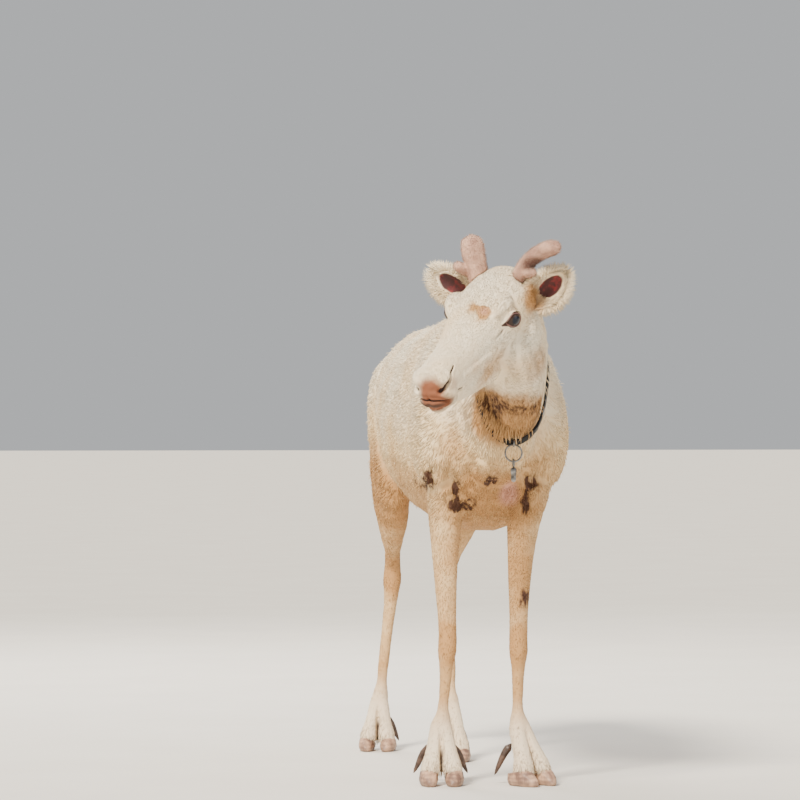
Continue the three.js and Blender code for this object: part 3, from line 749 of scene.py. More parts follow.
# The same on the head's own axes, in metres forward, left and up
NOSE_PAD = [
    ((0.232, 0.008, -0.014), (0.060, 0.048, 0.044), 1.5),
    ((0.220, 0.010, -0.048), (0.045, 0.064, 0.032), 1.5),
]
LIPS = [((0.226, 0, -0.046), (0.040, 0.050, 0.013), 1.2)]
print("spots of tan, brown and pink:", len(TAN_PATCHES), len(BROWN_MARKS_AND_SHADE), len(PINK_PATCHES))


# %% The coat's recipe
def on_head_axes(where):
    """A place of the object as forward, left and up from between the eyes, in metres."""
    axes = enumerate((head_forward, head_left, head_up))
    out = {i: where.vector("DOT_PRODUCT", axis, out=1) - axis.dot(head_origin) for i, axis in axes}
    return where.node("ShaderNodeCombineXYZ", out)


def coat_colour(where, shade=None):
    """Cream white hair with its stains and markings, partly painted shade under the jaw and in the chest's
    folds, and creamier where the shade is high.
    """
    patches = noise(where, 7.0, 4.0)
    grain = noise(where, 90.0) - 0.5
    wander = noise(where, 22.0, rough=0.5, out=1).vector("SUBTRACT", (0.5, 0.5, 0.5))
    spot = where.vector("ADD", wander.vector("MULTIPLY", (WANDER, WANDER, WANDER)))
    lower = below(where, 560, 840)
    colour = (patches * 0.9 + lower * 0.45 - 0.16).ramp(0.02, 0.70).tint(WHITE, CREAM)
    # stains lower on the body and in tan patches, with painted shade under the jaw
    stain_and_shade = (lower * 0.6 + patches - 0.45).ramp(0.25, 0.85) * 0.6 + below(where, 540, 700) * 0.22
    stain_and_shade = (stain_and_shade + summed(spot, TAN_PATCHES) + grain * 0.3).ramp(0.0, 1.0)
    colour = stain_and_shade.tint(colour, TAN)
    if shade:
        colour = shade.tint(colour, CREAM)
    streaks = noise(where, 150.0, 4.0, stretch=(1.0, 1.0, 0.16)) * 0.7 + noise(where, 60.0) * 0.3
    # brown marks streaked like hair: partly dark hair and dirt, partly painted shade under the jaw and in
    # the chest's folds
    mark_and_shade = (summed(spot, BROWN_MARKS_AND_SHADE) * (streaks * 4.6 - 1.5)).ramp(0.10, 0.90)
    colour = mark_and_shade.tint(colour, BROWN)
    pink = summed(where, PINK_PATCHES) * (patches * 0.8 + 0.55)
    colour = pink.ramp(0.1, 0.9).tint(colour, PINK)
    colour = (below(where, 90, 190) * 0.6).tint(colour, WHITE)
    head = on_head_axes(where)
    colour = (summed(head, NOSE_PAD) + grain * 0.5).ramp(0.1, 1.1).tint(colour, NOSE)
    colour = (summed(head, LIPS) + grain * 0.3).ramp(0.2, 0.9).tint(colour, BROWN)
    # the dark lids and lips, and painted shade in the nostrils, the mouth's crease and the toes' cleft
    return attribute(where, "dark").ramp(0.1, 0.8).tint(colour, DARK)


# %% Materials for skin and hair
skin_material, where, fill = material("skin_under_hair", rough=0.85)
rough_skin = noise(where, 160.0, 4.0, stretch=(1.0, 0.35, 0.35))
fill(Base_Color=coat_colour(where), Normal=bump(rough_skin, 0.35, 0.002))
skin.data.materials.append(skin_material)

hair_material, where, fill = material("hair", rough=0.75, Specular_IOR_Level=0.25)
shade = attribute(where, "tone") * 0.35 + (1 - attribute(where, "tip")) * 0.3
fill(Base_Color=coat_colour(where, shade.ramp(0.0, 1.0) * 0.26))
print("materials:", [m.name for m in bpy.data.materials])

# %% [markdown]
# ## Tufts
# Hair curves and instances do not survive the export, so each tuft is a little solid: a triangle at
# the root, one in the middle and a point. Ten triangles a tuft let more than a hundred thousand of
# them lie on the skin, like slates on a roof, each turned the way the coat runs there.

# %% The shape of a tuft
RING = np.array([[-0.5, 0.0], [0.5, 0.0], [0.0, 0.24]])  # across, and out from the skin
TUFT_POINTS = 7
TUFT_FACES = np.array([
    [0, 2, 1], [0, 1, 4], [0, 4, 3], [1, 2, 5], [1, 5, 4],
    [2, 0, 3], [2, 3, 5], [3, 4, 6], [4, 5, 6], [5, 3, 6],
])
TUFT_TIPS = [0, 0, 0, 0.5, 0.5, 0.5, 1.0]  # how near each point is to the tip
TUFT_UV = np.array([[0, 0], [1, 0], [0.5, 0.3], [0, 0.6], [1, 0.6], [0.5, 0.8], [0.5, 1]]) * 0.003
MOST_TUFTS = 19500  # of ten triangles, in one piece
rng = np.random.default_rng(7)


def unit(rows):
    """Rows as directions."""
    return rows / np.maximum(np.linalg.norm(rows, axis=1, keepdims=True), 1e-9)


# %% A piece with its finish
def finished(obj, finish, slot, *nodes):
    """Gives a piece its material and smooth shading, sets it on the root, and hides the solids that it
    stands for. The slot is not used.
    """
    obj.data.shade_smooth()
    obj.data.materials.append(finish)
    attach(obj, "root")
    if nodes:
        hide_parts(*nodes)
    return obj


# %% One mesh of tufts
def tuft_mesh(name, corners, uv):
    """One mesh of tufts from the places of their seven points."""
    count = len(corners)
    faces = (TUFT_FACES[None] + TUFT_POINTS * np.arange(count)[:, None, None]).reshape(-1, 3)
    mesh = bpy.data.meshes.new(name)
    mesh.vertices.add(count * TUFT_POINTS)
    mesh.vertices.foreach_set("co", corners.ravel())
    mesh.loops.add(len(faces) * 3)
    mesh.loops.foreach_set("vertex_index", faces.ravel().astype(np.int32))
    mesh.polygons.add(len(faces))
    mesh.polygons.foreach_set("loop_start", np.arange(0, len(faces) * 3, 3, dtype=np.int32))
    mesh.update(calc_edges=True)
    corner_uv = (uv[:, None, :] + TUFT_UV[None]).reshape(-1, 2)
    mesh.uv_layers.new(name="OFBake").data.foreach_set("uv", corner_uv[faces.ravel()].ravel())
    return mesh


# %% Pieces of tufts
def tuft_pieces(name, roots, out, lie, length, width, lift, uv, finish, slot="coat", sink=1.2, dark=0.0):
    """Pieces of tufts from their roots, each under 200,000 triangles. Gives their number."""
    lie = unit(lie - out * np.sum(lie * out, axis=1, keepdims=True))
    side = np.cross(out, lie)
    length, width, lift = (np.broadcast_to(v, len(roots))[:, None] * 1.0 for v in (length, width, lift))
    sunk = out * sink * MM
    root = roots - sunk
    sway = side * rng.normal(0, 0.06, (len(roots), 1)) * length * MM
    rise = out * lift * length * MM
    half = root + lie * length * 0.5 * MM + rise * 0.75 + sunk + sway * 0.4
    tip = root + lie * length * MM + rise + sunk + sway
    rows = []
    for centre, share in ((root, 0.75), (half, 1.0)):
        for across, outward in RING:
            rows.append(centre + side * across * width * share * MM + out * outward * width * share * MM)
    corners = np.stack([*rows, tip], axis=1)
    tones = rng.random(len(roots))
    dark = np.broadcast_to(dark, len(roots))
    starts = range(0, len(roots), MOST_TUFTS)
    for number, start in enumerate(starts):
        part = slice(start, start + MOST_TUFTS)
        mesh = tuft_mesh(name, corners[part], uv[part])
        painted(mesh, np.repeat(tones[part], TUFT_POINTS), "tone")
        painted(mesh, np.repeat(dark[part], TUFT_POINTS))
        painted(mesh, np.tile(TUFT_TIPS, len(corners[part])), "tip")
        finished(piece(mesh, "%s_%d" % (name, number)), finish, slot)
    return len(starts)


# %% [markdown]
# ## Where the tufts stand and how they lie
# The coat runs back and down over the trunk, down the legs, and back from the nose over the head.
# A hair system could be combed that way with a brush. Here points are drawn at random on the skin's
# triangles, more of them where the hair is finer, because numbers can then set how each tuft lies
# from the place where it stands.

# %% Random places on a surface
def sown(mesh, count, density):
    """Random places on a mesh, the surface's direction there, and which points they lie between."""
    mesh.calc_loop_triangles()
    corners = np.empty(len(mesh.loop_triangles) * 3, dtype=np.int32)
    mesh.loop_triangles.foreach_get("vertices", corners)
    corners = corners.reshape(-1, 3)
    points, normals = points_of(mesh), normals_of(mesh)
    a, b, c = (points[corners[:, i]] for i in range(3))
    area = np.linalg.norm(np.cross(b - a, c - a), axis=1) / 2
    weight = area * density(points)[corners].mean(axis=1)
    chosen = rng.choice(len(corners), size=count, p=weight / weight.sum())
    u, v = rng.random(count), rng.random(count)
    flip = u + v > 1
    u[flip], v[flip] = 1 - u[flip], 1 - v[flip]
    shares = np.stack([u, v, 1 - u - v], axis=1)[:, :, None]
    roots = (points[corners[chosen]] * shares).sum(axis=1)
    out = unit((normals[corners[chosen]] * shares).sum(axis=1))
    return roots, out, (corners[chosen], shares[:, :, 0])


# %% The unwrap
def unwrapped(roots, start, end, corner, size):
    """A cylinder's unwrap round the line from start to end, laid in one box of the UV square."""
    axis = np.array(end - start)
    long = np.linalg.norm(axis)
    axis = axis / long
    away = roots - np.array(start)
    share = np.clip(away @ axis / long, 0, 1)
    first = np.cross(axis, [0.3, 0.9, 0.1])
    first /= np.linalg.norm(first)
    second = np.cross(axis, first)
    turn = np.arctan2(away @ second, away @ first) / (2 * math.pi) + 0.5
    return np.stack([corner[0] + turn * size[0] * 0.97, corner[1] + share * size[1] * 0.97], axis=1)


def coat_uv(roots):
    """Each part of the body is a cylinder with its own box in the UV square."""
    p = first_mm(roots)
    uv = unwrapped(roots, place(10, 960, 740), place(10, -60, 740), (0, 0), (0.55, 0.55))
    neck = unwrapped(roots, place(12, 0, 800), place(0, -210, 900), (0, 0.56), (0.3, 0.2))
    head = unwrapped(roots, on_head(-150, 0, -30), on_head(240, 0, -30), (0.31, 0.56), (0.35, 0.43))
    uv = np.where((on_the_neck(roots) > 0.5)[:, None], neck, uv)
    uv = np.where((on_the_head(roots) > 0.5)[:, None], head, uv)
    for i, (x, y) in enumerate([(74, 75), (-74, 90), (35, 700), (-95, 900)]):
        rear, right = divmod(i, 2)
        corner = (0.67 + 0.16 * right, 0.5 * rear)
        leg = unwrapped(roots, place(x, y, 0), place(x, y, 500), corner, (0.15, 0.49))
        between = -35 if rear else 0
        here = ((p[:, 1] > 400) == bool(rear)) & ((p[:, 0] > between) == (x > -35))
        uv = np.where((here & (p[:, 2] < 500))[:, None], leg, uv)
    tail = unwrapped(roots, place(0, 975, 880), place(0, 975, 740), (0.56, 0), (0.1, 0.2))
    return np.where(((p[:, 1] > 955) & (p[:, 2] > 730))[:, None], tail, uv)


# %% The lie of the coat
COAT_TUFTS = 134000
STRAYS = 0.035  # share of the tufts that stand off the coat
STRAP_AXIS = Vector((0, -0.97, 0.242)).normalized()
STRAP_MIDDLE = place(30, -112, 835)


def coat_lie(roots):
    """The way the hair runs."""
    forward, left, up = HEAD_AXES
    head = on_the_head(roots)[:, None]
    neck = on_the_neck(roots)[:, None] * (1 - head)
    leg = on_a_leg(roots)[:, None] * (1 - head) * (1 - neck)
    trunk = 1 - head - neck - leg
    aside = head_coords(roots)[:, 1:2]
    outward = np.sign(aside) * smoothstep(0, 60, np.abs(aside))
    lie = trunk * np.array([0, 1.0, -0.62]) + neck * np.array([0.05, 0.65, -0.75])
    lie = lie + leg * np.array([0, 0.1, -1.0]) + head * (-forward + left * outward * 0.25 - up * 0.15)
    tail = on_the_tail(roots)[:, None]
    return lie * (1 - tail) + tail * np.array([0, 0.15, -1.0])


# %% The size and number of the tufts
def coat_sizes(roots):
    """Length and width of the tufts in millimetres."""
    head = on_the_head(roots)
    neck = on_the_neck(roots) * (1 - head)
    leg = on_a_leg(roots) * (1 - on_the_neck(roots)) * (1 - head)
    front = smoothstep(20, 190, head_coords(roots)[:, 0]) * head
    coronet = 1 - smoothstep(38, 62, first_mm(roots)[:, 2])
    length = 18 + 6 * neck - 9 * leg + 6 * coronet
    length = length * (1 - head) + head * (9.5 - 5.8 * front) + 14 * on_the_tail(roots)
    width = (2.7 - 1.2 * leg) * (1 - head) + head * (1.6 - 0.65 * front)
    return length, width


def coat_density(points):
    """More tufts where they are small, and fewer on the lower legs."""
    length, width = coat_sizes(points)
    height = first_mm(points)[:, 2]
    thick = np.maximum(smoothstep(250, 420, height), 1 - smoothstep(60, 80, height))
    return (1 - 0.4 * on_a_leg(points)) * (0.3 + 0.7 * thick) / (length * width) ** 0.85


# %% Where no hair grows
def before_strap(points):
    """How far before the strap's middle a point lies, in millimetres."""
    return (points - np.array(STRAP_MIDDLE)) @ np.array(STRAP_AXIS) / MM


def bare(roots):
    """True where no hair grows: the nose, round the eyes and under the strap."""
    h = head_coords(roots)
    nose = ((h[:, 0] - 232) / 26) ** 2 + (h[:, 1] / 31) ** 2 + ((h[:, 2] + 24) / 36) ** 2 < 1
    before = before_strap(roots)
    p = first_mm(roots)
    strap = (np.abs(before) < 8) | ((before > 0) & (before < 26) & (p[:, 0] > 30))
    eye = np.zeros(len(roots), dtype=bool)
    for side in (1, -1):
        edge, radius, _ = eye_angles(h, side)
        eye |= (edge < 1.42) & (radius < 32)
    return nose | eye | (strap & (on_the_neck(roots) > 0.2) & (p[:, 2] > 600))


# %% The coat
roots, out, (corners, shares) = sown(skin.data, COAT_TUFTS, coat_density)
dark_here = (dark[corners] * shares).sum(axis=1)
grown = ~bare(roots) & (dark_here < 0.15)
roots, out, dark_here = roots[grown], out[grown], dark_here[grown]
order = np.argsort(roots[:, 1])
roots, out, dark_here = roots[order], out[order], dark_here[order]
count = len(roots)
length, width = coat_sizes(roots)
length = length * rng.uniform(0.7, 1.3, count)
width = width * rng.uniform(0.7, 1.25, count)
lie = unit(coat_lie(roots)) + rng.normal(0, 0.07, roots.shape)
flat = (1 - 0.6 * on_a_leg(roots)) * (1 - 0.5 * on_the_head(roots))
lift = rng.uniform(0.01, 0.065, count) * flat
stray = (rng.random(count) < STRAYS) & (on_a_leg(roots) < 0.3) & (on_the_head(roots) < 0.5)
lift = np.where(stray, rng.uniform(0.15, 0.40, count), lift)
width = np.where(stray, width * 0.5, width)
uv = coat_uv(roots)
made = tuft_pieces("coat", roots, out, lie, length, width, lift, uv, hair_material, dark=dark_here)
print("tufts:", count, "in", made, "pieces")

# %% Long hair that falls over the collar
roots, out, _ = sown(skin.data, 30000, lambda p: on_the_neck(p) * (1 - on_the_head(p)) + 1e-6)
before = before_strap(roots)
right = 1 - smoothstep(0, 36, first_mm(roots)[:, 0]) * 0.97  # mostly on the animal's right
kept = (before > 8) & (before < 30) & (rng.random(len(roots)) < right)
roots, out = roots[kept][:1800], out[kept][:1800]
count = len(roots)
lie = coat_lie(roots) + out * 0.35 + rng.normal(0, 0.16, roots.shape)
length = rng.uniform(26, 40, count)
lift = rng.uniform(0.22, 0.42, count)
tuft_pieces("collar_hair", roots, out, lie, length, 2.4, lift, coat_uv(roots), hair_material)
print("hair over the collar:", count)

# %% [markdown]
# ## Ears
# An ear is a leaf of gristle rolled into a cup. Long pale hair fringes the rim and the skin inside
# is a deep red, nearly black in patches where shade is painted in the cup. A ball cut open would
# make a cup too, but with an even, round rim. A grid that is bent round a changing radius keeps the
# leaf's own outline, and is then given its thickness.

# %% The leaf of an ear
EAR_LENGTH = 90
EAR_HAIRS = 3600
FRINGE = 1900


def ear_leaf(s, t):
    """A place on the leaf, along, across and out in mm: s runs from base to tip, t across."""
    half = 36 * math.sqrt(max(0.0, math.sin(math.pi * min(1.0, 0.10 + 0.90 * s) ** 0.95)))
    roll = 2.3 - 2.2 * min(s, 0.45) - 0.5 * max(0.0, s - 0.45)
    radius = half / roll
    out = radius * (1 - math.cos(t * roll)) - 15 + 6 * s
    return EAR_LENGTH * (1.14 * s - 0.16), radius * math.sin(t * roll), out


def ear_axes(direction, open_towards):
    """Along the ear, across it and out of its cup."""
    a = direction.normalized()
    across = open_towards.cross(a).normalized()
    return a, across, a.cross(across).normalized()


def inside_of_ear(points, out, base, a, across, face_out):
    """1 deep inside the cup of an ear and 0 on its rim and back."""
    p = (points - np.array(base)) / MM
    t = p @ np.array(across)
    far = np.hypot((p @ np.array(a) / EAR_LENGTH - 0.50) / 0.42, t / 21)
    inward = out @ np.array(face_out) - (out @ np.array(across)) * t / 22
    return (1 - smoothstep(0.6, 1.05, far)) * (inward > 0)


# %% Where the ears stand and open
EARS = {
    "left": (on_head(-92, 66, -24), (-0.35, 0.75, 0.6), (0.9, 0.35, 0.25), (0.86, 0.0)),
    "right": (on_head(-85, -72, -18), (0.02, -0.82, 0.57), (0.85, 0.05, 0.35), (0.86, 0.5)),
}

# %% The ears' colour
ear_material, where, fill = material("inside_of_ear", rough=0.6)
# the deep red skin of the ear, nearly black in patches: painted shade in the cup
red_and_cup_shade = noise(where, 50.0).ramp(0.42, 0.72).tint((0.045, 0.006, 0.008, 1), (0.30, 0.012, 0.016, 1))
flush = attribute(where, "inner") + (noise(where, 90.0) - 0.5) * 0.5
red = flush.ramp(0.25, 0.75).tint(coat_colour(where), red_and_cup_shade)
fill(Base_Color=red, Normal=bump(noise(where, 200.0), 0.3, 0.001))

# %% Two ears
for word, (base, direction, open_towards, uv_corner) in EARS.items():
    a, across, face_out = ear_axes(head_direction(*direction), head_direction(*open_towards))
    bm = bmesh.new()
    bmesh.ops.create_grid(bm, x_segments=26, y_segments=34, size=1)
    for v in bm.verts:
        x, y, z = ear_leaf((v.co.y + 1) / 2, v.co.x)
        v.co = base + (a * x + across * y + face_out * z) * MM
    bmesh.ops.remove_doubles(bm, verts=bm.verts, dist=1e-5)
    bmesh.ops.recalc_face_normals(bm, faces=bm.faces)
    obj = piece_from(bm, "ear_skin_" + word)
    applied(obj, "SOLIDIFY", thickness=2.8 * MM, offset=0)
    applied(obj, "SUBSURF", levels=1, render_levels=1)
    relax(obj.data, 2)
    painted(obj.data, np.zeros(len(obj.data.vertices)))
    inner = inside_of_ear(points_of(obj.data), normals_of(obj.data), base, a, across, face_out)
    painted(obj.data, inner, "inner")
    finished(obj, ear_material, "coat", "ear_" + word)
    roots, out, _ = sown(obj.data, EAR_HAIRS, lambda p: np.ones(len(p)))
    keep = inside_of_ear(roots, out, base, a, across, face_out) < 0.25
    roots, out = roots[keep], out[keep]
    p = (roots - np.array(base)) / MM
    s, t = p @ np.array(a) / EAR_LENGTH, p @ np.array(across)
    lie = np.array(a) * (0.6 + s[:, None]) + np.array(across) * (t[:, None] / 24)
    length = 9 + 5 * rng.random(len(roots))
    # the fringe stands on the rim
    rim_s = 0.20 + 0.80 * rng.random(FRINGE) ** 0.8
    rim_t = np.sign(rng.random(FRINGE) - 0.5) * rng.uniform(0.90, 1.0, FRINGE)
    spots = np.array([ear_leaf(u, w) for u, w in zip(rim_s, rim_t)])
    axes = np.array([list(a), list(across), list(face_out)])
    from_middle = spots - np.array([EAR_LENGTH * 0.50, 0, 6])
    outward = unit(from_middle * np.array([1.0, 1.0, 0.2])) @ axes
    fringe_out = unit(np.cross(outward, np.cross(np.tile(face_out, (FRINGE, 1)), outward)))
    roots = np.concatenate([roots, np.array(base) + spots @ axes * MM])
    tuft_pieces(
        "ear_hair_" + word,
        roots,
        np.concatenate([out, fringe_out]),
        np.concatenate([lie, outward]) + rng.normal(0, 0.26, roots.shape),
        np.concatenate([length, rng.uniform(10, 26, FRINGE)]),
        1.5,
        rng.uniform(0.0, 0.25, len(roots)),
        unwrapped(roots, base, base + a * 0.1, uv_corner, (0.13, 0.2)),
        hair_material,
    )
print("ears done")

# %% [markdown]
# ## Eyes
# A reindeer's eye is large and nearly black, with a wide pupil that hardly shows. The ball is a wet
# and glossy sphere. A thin roll of bare dark skin runs round the opening of the lids. It could be
# carved into the skin, but the skin's squares are too coarse for it, so it is a tube of its own.

# %% The measures of the lids
LID_TURNS = 72
LID_ROLL = 1.3  # the roll's radius
PUPIL_OUT = 16.5  # from the ball's middle
EYES = (("left", eye_left, 1), ("right", eye_right, -1))


# %% A closed tube
def tube(rings):
    """A closed tube through rings of places, as a bmesh."""
    bm = bmesh.new()
    rings = [[bm.verts.new(spot) for spot in ring] for ring in rings]
    for here, onward in zip(rings, rings[1:] + rings[:1]):
        for k in range(len(here)):
            j = (k + 1) % len(here)
            bm.faces.new((here[k], here[j], onward[j], onward[k]))
    bmesh.ops.recalc_face_normals(bm, faces=bm.faces)
    return bm


# %% A wet eye and a dark lid
gloss = {"IOR": 1.3, "Coat_IOR": 1.3, "Coat_Weight": 0.25, "Coat_Roughness": 0.02}
eye_material, where, fill = material("eye", rough=0.05, **gloss)
fronts = [centre + head_direction(*eye_frame(side)[0]) * PUPIL_OUT * MM for _, centre, side in EYES]
pupil = summed(where, [(front, (0.013, 0.013, 0.013), 1.0) for front in fronts])
fill(Base_Color=pupil.ramp(0.1, 0.5).tint((0.03, 0.016, 0.012, 1), (0.006, 0.008, 0.016, 1)))
lid_material, where, fill = material("lid_edge", rough=0.45)
fill(Base_Color=noise(where, 120.0).tint((0.10, 0.045, 0.04, 1), (0.20, 0.09, 0.075, 1)))

# %% Two eyeballs and the edges of their lids
for word, centre, side in EYES:
    gaze, long, tall = eye_frame(side)
    bm = bmesh.new()
    bmesh.ops.create_uvsphere(bm, u_segments=48, v_segments=32, radius=(EYE_R + 0.3) * MM)
    turned = head_direction(*gaze).to_track_quat("Z", "Y").to_matrix()
    bmesh.ops.rotate(bm, verts=bm.verts, matrix=turned)
    bmesh.ops.translate(bm, verts=bm.verts, vec=centre)
    finished(piece_from(bm, "eyeball_" + word), eye_material, "eye", "eye_" + word)
    rows = []
    for i in range(LID_TURNS):
        turn = 2 * math.pi * i / LID_TURNS
        a = math.cos(turn) * OPEN_LONG * (1.18 if math.cos(turn) > 0 else 1.0)
        away = gaze + long * math.tan(a) + tall * math.tan(math.sin(turn) * OPEN_TALL)
        rows.append(away / np.linalg.norm(away))
    rings = []
    for i, away in enumerate(rows):
        onward = rows[(i + 1) % LID_TURNS] - rows[i - 1]
        side_way = np.cross(onward / np.linalg.norm(onward), away)
        ring = []
        for k in range(8):
            angle = 2 * math.pi * k / 8
            roll = away * math.cos(angle) + side_way * math.sin(angle)
            ring.append(centre + head_direction(*(away * (EYE_R + 1.0) + roll * LID_ROLL)) * MM)
        rings.append(ring)
    finished(piece_from(tube(rings), "lid_edge_" + word), lid_material, "eye")
print("eyes done")

# %% [markdown]
# ## Antlers in velvet
# Growing antlers are soft and wrapped in skin with short fine hair. Subdividing the solids would
# leave the beam and its tine apart. Remeshed on a fine grid and smoothed, the two melt together, and
# a fuzz of very small tufts stands on them.

# %% The colour of velvet
VELVET_HAIRS = 3200
# dark spots on the left antler: at its root, and painted shade under the beam where it turns down
DARK_VELVET = [
    (on_head(-98, 44, 14), (0.045, 0.045, 0.045), 1.3),
    (on_head(-104, 80, 60), (0.04, 0.06, 0.026), 1.3),
]


def velvet_colour(where):
    """Pinkish brown velvet, with painted shade under a beam where it turns down, and darker at its root."""
    pink = noise(where, 35.0, 4.0).ramp(0.3, 0.7).tint((0.38, 0.20, 0.145, 1), (0.68, 0.42, 0.30, 1))
    # the dark root, and painted shade under the beam
    low = (summed(where, DARK_VELVET) + (noise(where, 70.0) - 0.5) * 0.4).ramp(0.1, 1.0)
    return low.tint(pink, (0.12, 0.052, 0.038, 1))


# %% Velvet and its fuzz
velvet_material, where, fill = material("velvet", rough=0.9)
fill(Base_Color=velvet_colour(where), Normal=bump(noise(where, 300.0), 0.5, 0.001))
fuzz_material, where, fill = material("velvet_fuzz", rough=0.9)
pale = noise(where, 40.0) * 0.3 + 0.15
fill(Base_Color=pale.tint(velvet_colour(where), (0.85, 0.67, 0.52, 1)))

# %% Two antlers
for word, aside, uv_corner in (("left", 40, (0.86, 0.25)), ("right", -50, (0.86, 0.75))):
    nodes = ["antler_%s_beam" % word, "antler_%s_tine" % word]
    obj = rounded(piece_from(joined(nodes, SWELL), "antler_skin_" + word), 2.2 * MM, 8)
    largest_island(obj)
    finished(obj, velvet_material, "velvet", *nodes)
    roots, out, _ = sown(obj.data, VELVET_HAIRS, lambda p: np.ones(len(p)))
    lie = HEAD_AXES[2] * 0.6 + out * 0.2 + rng.normal(0, 0.3, roots.shape)
    length = rng.uniform(2.5, 4.5, len(roots))
    low = on_head(-90, aside, 10)
    uv = unwrapped(roots, low, low + head_up * 0.1, uv_corner, (0.13, 0.2))
    name = "velvet_hair_" + word
    tuft_pieces(name, roots, out, lie, length, 0.55, 0.7, uv, fuzz_material, slot="velvet", sink=0.5)
print("antlers done")

# %% [markdown]
# ## Hooves and dew claws
# Each claw is a crescent of dull horn with faint rings of growth. Subdividing its solid would draw
# the thin edges in, so it is remeshed on a fine grid and smoothed a little. A point that smoothing
# moved under the solid's box is lifted back, so that the hoof stands on the floor.

# %% Horn
horn_material, where, fill = material("hoof_horn", rough=0.5)
wave = {"Vector": where, "Scale": 38.0, "Distortion": 5.0, "Detail": 3.0}
growth = where.node("ShaderNodeTexWave", wave, out=1, bands_direction="Z")
tone = (noise(where, 42.0, 4.0, stretch=(1.0, 1.0, 0.35)) * 0.94 + growth * 0.06).ramp(0.36, 0.66)
colour = tone.tint((0.17, 0.095, 0.07, 1), (0.60, 0.37, 0.24, 1))
colour = (below(where, 2, 16) * 0.5).tint(colour, (0.24, 0.15, 0.10, 1))  # darker and browner towards the floor
fill(Base_Color=colour, Normal=bump(growth, 0.08, 0.001))
dark_horn, where, fill = material("dew_claw_horn", rough=0.5)
colour = noise(where, 60.0).ramp(0.3, 0.7).tint((0.035, 0.018, 0.012, 1), (0.12, 0.07, 0.05, 1))
fill(Base_Color=colour, Normal=bump(noise(where, 150.0), 0.3, 0.001))

# %% Eight hooves and eight dew claws
for end in ENDS:
    for word in SIDES:
        for kind, finish, voxel in (("hoof", horn_material, 2.2), ("dewclaw", dark_horn, 1.6)):
            for claw in ("l", "r"):
                node = "_".join((end, kind, word, claw))
                obj = rounded(piece_from(solid_of(node), node + "_horn"), voxel * MM, 5)
                points = points_of(obj.data)
                points[:, 2] = np.maximum(points[:, 2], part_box(node)[0][2])
                set_points(obj.data, points)
                finished(obj, finish, kind, node)
print("hooves done")

# %% [markdown]
# ## The collar
# A narrow black strap with a steel buckle, its free end laid back over it, and a ring with a swivel
# at the throat. The strap's solid follows every bump of the neck, and a copy of it would look
# dented, so a smooth band is drawn through its outline. The other solids have their true shape
# already: only their edges are rounded, or their curves made finer.

# %% Leather and steel
leather_material, where, fill = material("worn_leather", rough=0.6, Specular_IOR_Level=0.2)
creases = noise(where, 260.0, 5.0)
worn = noise(where, 45.0, 4.0).ramp(0.45, 0.8)
colour = worn.tint((0.006, 0.006, 0.007, 1), (0.030, 0.026, 0.024, 1))
fill(Base_Color=colour, Roughness=worn * 0.25 + 0.45, Normal=bump(creases, 0.5, 0.001))
steel_material, where, fill = material("dull_steel", rough=0.35, metal=1.0)
scratches = noise(where, 400.0, stretch=(1.0, 1.0, 0.1))
colour = noise(where, 80.0).ramp(0.3, 0.7).tint((0.11, 0.10, 0.09, 1), (0.34, 0.33, 0.32, 1))
fill(Base_Color=colour, Roughness=scratches * 0.3 + 0.25, Normal=bump(scratches, 0.2, 0.0005))

# %% The measures of the strap
STRAP_TURNS = 128
STRAP_LIFT = 0.8  # the strap rests on the coat, not on the skin
STRAP_DROOP = 2.5  # and hangs a little away under the throat
STRAP_TILT = math.radians(36)  # its lower edge stands off under the throat
STRAP_SECTION = [
    (-7.5, -1.2), (-7.1, 1.2), (-5.5, 1.9), (5.5, 1.9),
    (7.1, 1.2), (7.5, -1.2), (6.0, -1.8), (-6.0, -1.8),
]


# %% Rounded edges and smooth curves
def edged(node, width, finish, slot, name):
    """A copy of a solid with rounded edges."""
    obj = piece_from(solid_of(node), name)
    applied(obj, "BEVEL", width=width * MM, segments=3, limit_method="ANGLE", angle_limit=math.radians(45))
    return finished(obj, finish, slot, node)


def waves(angle):
    """The columns of a smooth closed curve: a constant, and six waves round the neck."""
    columns = [np.ones(len(angle))]
    for k in range(1, 7):
        columns += [np.sin(k * angle), np.cos(k * angle)]
    return np.stack(columns, axis=1)


# %% A curve through the strap's outline
axis = np.array(STRAP_AXIS)
first = np.cross(axis, [1.0, 0.0, 0.0])
first /= np.linalg.norm(first)
second = np.cross(axis, first)
bm = solid_of("collar_strap")
corners = np.array([list(v.co) for v in bm.verts])
bm.free()
middle_of_strap = corners.mean(axis=0)
away = corners - middle_of_strap
angle = np.arctan2(away @ second, away @ first)
radius = np.hypot(away @ first, away @ second)
fit = np.linalg.lstsq(waves(angle), radius, rcond=None)[0]

# %% The strap
rings, centres = [], []
for turn in np.linspace(0, 2 * math.pi, STRAP_TURNS, endpoint=False):
    outward = first * math.cos(turn) + second * math.sin(turn)
    centre = middle_of_strap + outward * ((waves(np.array([turn])) @ fit)[0] + STRAP_LIFT * MM)
    centre = centre + outward * STRAP_DROOP * MM * max(0.0, -outward[2])
    tilt = STRAP_TILT * (0.5 - 0.5 * outward[2])
    sideways = axis * math.cos(tilt) - outward * math.sin(tilt)
    upward = outward * math.cos(tilt) + axis * math.sin(tilt)
    rings.append([centre + (sideways * across + upward * up) * MM for across, up in STRAP_SECTION])
    centres.append(centre)
finished(piece_from(tube(rings), "strap"), leather_material, "strap", "collar_strap")

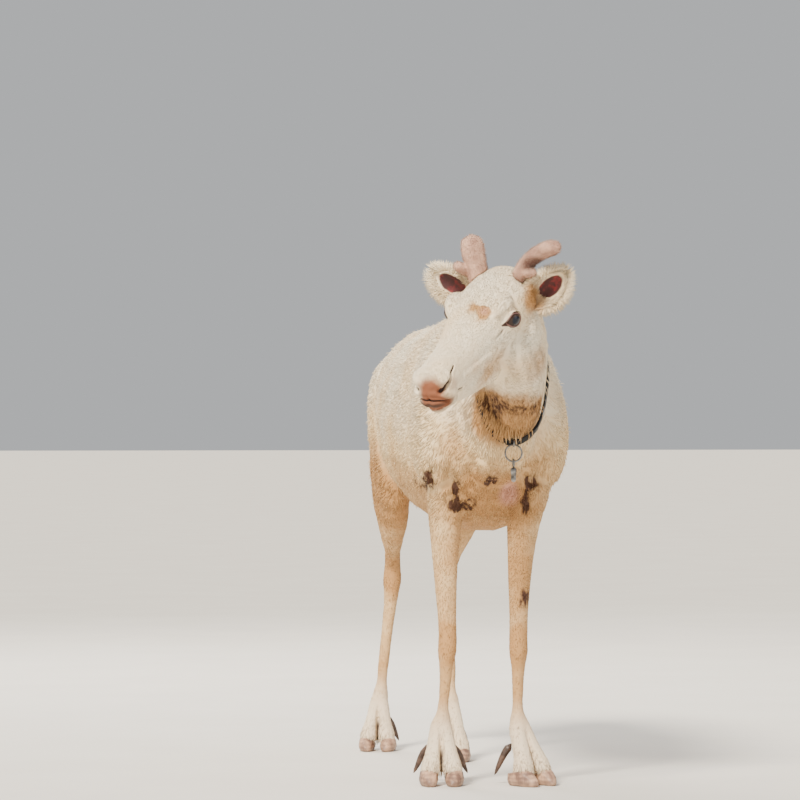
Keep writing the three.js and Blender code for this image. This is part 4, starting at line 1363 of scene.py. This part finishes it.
# %% The free end, the buckle and the ring
edged("collar_free_end", 0.8, leather_material, "strap", "strap_free_end")
edged("collar_buckle", 0.7, steel_material, "fittings", "buckle")
for node in ("collar_loop", "collar_ring", "swivel_eyelet", "swivel_body"):
    obj = piece_from(solid_of(node), node + "_steel")
    applied(obj, "SUBSURF", levels=2, render_levels=2)
    finished(obj, steel_material, "fittings", node)
round_neck = sum(np.linalg.norm(centres[i] - centres[i - 1]) for i in range(STRAP_TURNS))
print(f"collar: {round_neck / MM:.0f} mm round the neck")

# %% [markdown]
# ## Floor, lights and camera
# The floor is plain and pale, so that the coat's own colours show. A soft sun stands high behind the
# camera's left shoulder, a weaker light fills the shade, and one behind draws the rim of the coat.
# A picture of a sky could light the scene as well, but it would tint the white hair. The camera
# stands eight metres off, at the height of the animal's back.

# %% The floor and the sky
bm = bmesh.new()
bmesh.ops.create_grid(bm, x_segments=1, y_segments=1, size=60)
floor = piece_from(bm, "floor")
floor_material, where, fill = material("floor", rough=0.9)
fill(Base_Color=noise(where, 3.0).ramp(0.2, 0.8).tint((0.74, 0.70, 0.64, 1), (0.78, 0.74, 0.68, 1)))
floor.data.materials.append(floor_material)

world = bpy.data.worlds.new("sky")
bpy.context.scene.world = world
world.use_nodes = True
world.node_tree.nodes["Background"].inputs[0].default_value = (0.86, 0.88, 0.90, 1)
world.node_tree.nodes["Background"].inputs[1].default_value = 0.6


# %% The lights
def facing(at, direction):
    """The matrix of an object that stands at a place and looks along a direction."""
    turned = Vector(direction).to_track_quat("-Z", "Y").to_matrix()
    return Matrix.Translation(at) @ turned.to_4x4()


def soft_light(name, at, towards, size, power, colour):
    """A square area light."""
    light = bpy.data.lights.new(name, "AREA")
    light.size = size
    light.energy = power
    light.color = colour
    obj = bpy.data.objects.new(name, light)
    obj.matrix_world = facing(at, Vector(towards) - Vector(at))
    bpy.context.scene.collection.objects.link(obj)


BACK = Vector((0, 0, 0.7))
sun = bpy.data.lights.new("sun", "SUN")
sun.energy = 7.2
sun.angle = math.radians(14)
sun.color = (1.0, 0.93, 0.80)
obj = bpy.data.objects.new("sun", sun)
obj.matrix_world = Vector((0.42, 0.62, -0.66)).to_track_quat("-Z", "Y").to_matrix().to_4x4()
bpy.context.scene.collection.objects.link(obj)
soft_light("fill", Vector((3.6, -3.4, 2.0)), BACK, 3.0, 60, (0.95, 0.97, 1.0))
soft_light("rim", Vector((-1.0, 4.0, 3.6)), BACK, 2.0, 260, (1.0, 0.96, 0.90))
print("lights:", [light.name for light in bpy.data.lights])

# %% The camera
camera_data = bpy.data.cameras.new("camera")
camera = bpy.data.objects.new("camera", camera_data)
bpy.context.scene.collection.objects.link(camera)
bpy.context.scene.camera = camera
camera.matrix_world = facing(place(-1165.5, -8047.9, 768), (0.1219, 0.9925, 0))
camera_data.lens = 182.3
camera_data.sensor_width = 36
camera_data.shift_y = 0.00625
camera_data.clip_end = 100
print("camera at", [round(v, 3) for v in camera.matrix_world.translation])
